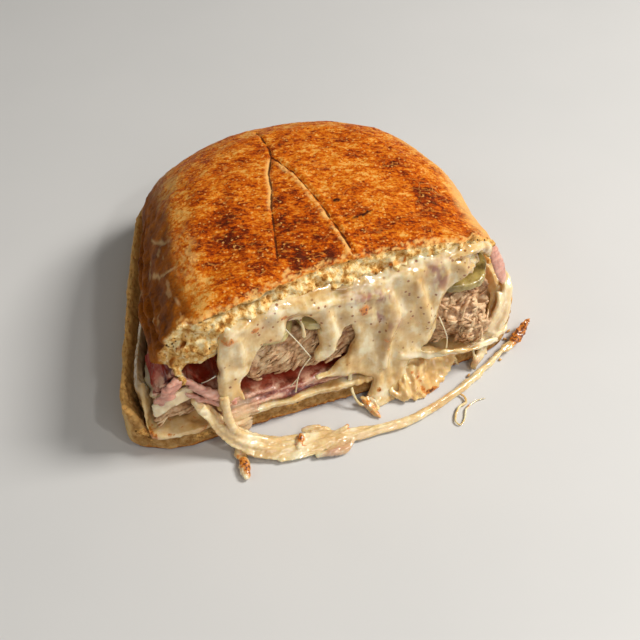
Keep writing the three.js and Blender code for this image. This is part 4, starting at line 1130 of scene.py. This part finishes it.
def lay_fibres(bm, skin, count, seed, span, heights, lean, thick, length, bend):
    """Lays shreds over the front of the meat, each leaning and bending within a range."""
    draw = random.Random(seed)
    for _ in range(count):
        px, pz = draw.uniform(*span), draw.uniform(*heights)
        hit, lift, *_ = skin.ray_cast(on_face(px, pz, 14), Vector((0, 1, 0)), 40)
        if hit is None or hit.y > face_y(px, pz) + 9:
            continue
        angle, width = draw.uniform(*lean), draw.uniform(*thick)
        along = Vector((math.cos(angle), draw.uniform(-0.25, 0.25), math.sin(angle)))
        along = (along - lift * along.dot(lift)).normalized()
        across = along.cross(lift).normalized()
        reach, curl = draw.uniform(*length) / 2, draw.uniform(-bend, bend)
        path = []
        for k in range(5):
            share = k / 2 - 1
            sunk = 0.35 * width - (0.9 if abs(share) == 1 else 0.0) * width
            path.append(hit + along * share * reach + across * curl * (1 - share * share) + lift * sunk)
        fibre(bm, path, across, lift, width)


def torn_pork(name, node, voxel, lean, groups):
    """A piece of pork with its furrows and its loose shreds. Its grain leans on the cut face."""
    meat = body([node], [], voxel, 2)
    co = places(meat)
    turned = co @ np.array(Matrix.Rotation(lean, 3, "Y"))
    ridges = np.abs(grain(turned + 0.6 * grain(co, 3, 2, seed=74)[:, None], 2.4, 2, (3.5, 1, 1), seed=71))
    swell(meat, 1.5 * (ridges - 0.3) + 0.7 * grain(co, 5, 2, seed=72) + 0.2 * grain(co, 1.4, 2, seed=73))
    skin = BVHTree.FromPolygons([v.co for v in meat.vertices], [p.vertices for p in meat.polygons])
    toast = 0.6 * ramp(grain(co, 4, 2, seed=75), 0.3, 0.7)
    # The furrows get painted shade.
    record_mask(meat, furrow=1 - ramp(ridges, 0.02, 0.2), toast=toast)
    bm = bmesh.new()
    bm.from_mesh(meat)
    for group in groups:
        lay_fibres(bm, skin, **group)
    bmesh.ops.recalc_face_normals(bm, faces=bm.faces)
    bm.to_mesh(meat)
    bm.free()
    finished(name, meat, PORK_PAINT, [node])


LEFT_MEAT = dict(
    count=130, seed=1, span=(-43, -5), heights=(16.5, 33),
    lean=(0.2, 0.8), thick=(0.4, 1.0), length=(4, 9), bend=0.7,
)
RIGHT_MEAT = dict(
    count=210, seed=2, span=(20, 45), heights=(8, 34),
    lean=(-1.2, 1.2), thick=(0.35, 0.9), length=(3, 6), bend=0.7,
)
CORNER_MEAT = dict(
    count=50, seed=3, span=(-75, -58), heights=(9, 19),
    lean=(-0.4, 0.6), thick=(0.35, 0.7), length=(3, 7), bend=0.8,
)
torn_pork("pork_middle", "pork", 0.7, 0.45, [LEFT_MEAT, RIGHT_MEAT])
torn_pork("pork_end", "pork_corner", 0.5, 0.1, [CORNER_MEAT])

# %% [markdown]
# ## Pickles
# Thin slices of pickled cucumber: a darker green skin round pale, wet, slightly clear flesh. The
# left and middle slices sit in shade under the cheese and are painted paler, as painted light.

# %% Pickles
PICKLE = Paint(
    "wet_pickle", specular_ior_level=0.6, subsurface_weight=0.4, subsurface_scale=0.003,
    subsurface_radius=(0.8, 1.0, 0.4), coat_weight=0.4, coat_roughness=0.08,
)
cloud, fine = PICKLE.noise(3, 3), PICKLE.noise(0.8, 3)
flesh = PICKLE.tint(cloud, [(0.35, (128, 106, 50)), (0.62, (176, 154, 90))])
rind = PICKLE.mix(fine, (104, 98, 42), (146, 138, 72))
# Painted light: the left and middle slices, which sit in shade under the cheese, are made paler.
flesh = PICKLE.over(flesh, "light", 0.6, (232, 216, 158))
tone = PICKLE.over(flesh, "rind", 0.8, rind)
PICKLE_PAINT = PICKLE.done(tone, 0.16 + fine * 0.14, cloud + fine * 0.4, 0.2)

for name in ("pickle_left", "pickle_middle", "pickle_right"):
    slice_mesh = body([name], [], 0.36, 4)
    co, out = places(slice_mesh), outward(slice_mesh)
    swell(slice_mesh, 0.22 * grain(co, 2.6, 3, seed=81))
    # Painted light on the slices in shade under the cheese.
    light = np.full(len(co), 0.0 if name == "pickle_right" else 1.0)
    rind_mask = (1 - ramp(np.abs(out[:, 2]), 0.3, 0.8)) * ramp(co[:, 2] - co[:, 2].mean(), -0.2, 0.6)
    rind_mask *= 0.6 - 0.3 * light
    record_mask(slice_mesh, rind=rind_mask, light=light)
    finished(name + "_slice", slice_mesh, PICKLE_PAINT, [name])

# %% [markdown]
# ## What fell off
# A thin curl of cheese, a crisp flake under the loop and a few crumbs lie loose on the ground.

# %% Curl, flake and crumbs
BEND_LEFT = (16.9, -62.6, 0.8)
BEND_RIGHT = (21.1, -62.6, 0.7)
CURL_START = [(22.4, -54.6, 0.8), (23.8, -57.6, 0.9), (22.8, -60.1, 0.8), (19.8, -60.6, 0.9), BEND_LEFT]
CURL_LOOP = [BEND_LEFT, (15.2, -65, 0.7), (15.9, -66.9, 0.6), (18.5, -65.5, 0.6), BEND_RIGHT]
CURL_TAIL = [BEND_RIGHT, (23.5, -61.5, 0.6), (27.2, -61.1, 0.5), (30.1, -61.7, 0.4)]
CURL = [(CURL_START, [0.35, 0.5, 0.4]), (CURL_LOOP, [0.4, 0.3, 0.35]), (CURL_TAIL, [0.4, 0.3, 0.2])]
curl = body([], CURL, 0.24, 2)
x, y, _ = places(curl).T
browned = 1.1 * spot(x, y, (22, -61.6), (1.6, 0.9))
record_mask(curl, toast=browned, amber=0.5 * spot(x, y, (23, -57), (1.4, 2)))
finished("cheese_curl", curl, CHEESE_PAINT, [])

FLAKE = [
    ([(-7.6, -41.6, 3), (-7.2, -45, 2), (-6.6, -48.4, 1.2), (-5.7, -51, 0.6)], [0.8, 1.4, 1.1, 0.3]),
    ([(-6.2, -42, 2.6), (-4.6, -45.4, 1.4), (-4.6, -48, 0.8)], [0.8, 1.4, 0.5]),
]
flake = body([], FLAKE, 0.26, 2)
co = places(flake)
swell(flake, 0.5 * grain(co, 1.8, 3, (1, 3, 1), seed=91), 0.05)
record_mask(flake, toast=0.6 + 0.35 * grain(co, 2, 2, seed=92))
finished("crisp_flake", flake, CHEESE_PAINT, [])

CRUMB_SPOTS = [(-6, -47.5), (31, -50.5), (35, -49), (45, -50), (52.5, -43), (56, -40.5), (49, -46.5)]
bm = bmesh.new()
draw = random.Random(95)
for px, py in CRUMB_SPOTS:
    size = [draw.uniform(0.35, 0.8) for _ in range(3)]
    blob(bm, Vector((px, py, size[2] * 0.9)), size, draw.uniform(0, 3), 2)
crumbs = remeshed(bm, 0.16, 1)
co = places(crumbs)
swell(crumbs, 0.25 * grain(co, 0.8, 2, seed=96), 0.02)
record_mask(crumbs, crumb=np.full(len(co), 0.5), toast=0.6 + 0.5 * grain(co, 3, 2, seed=97))
finished("loose_crumbs", crumbs, BASE_PAINT, [])
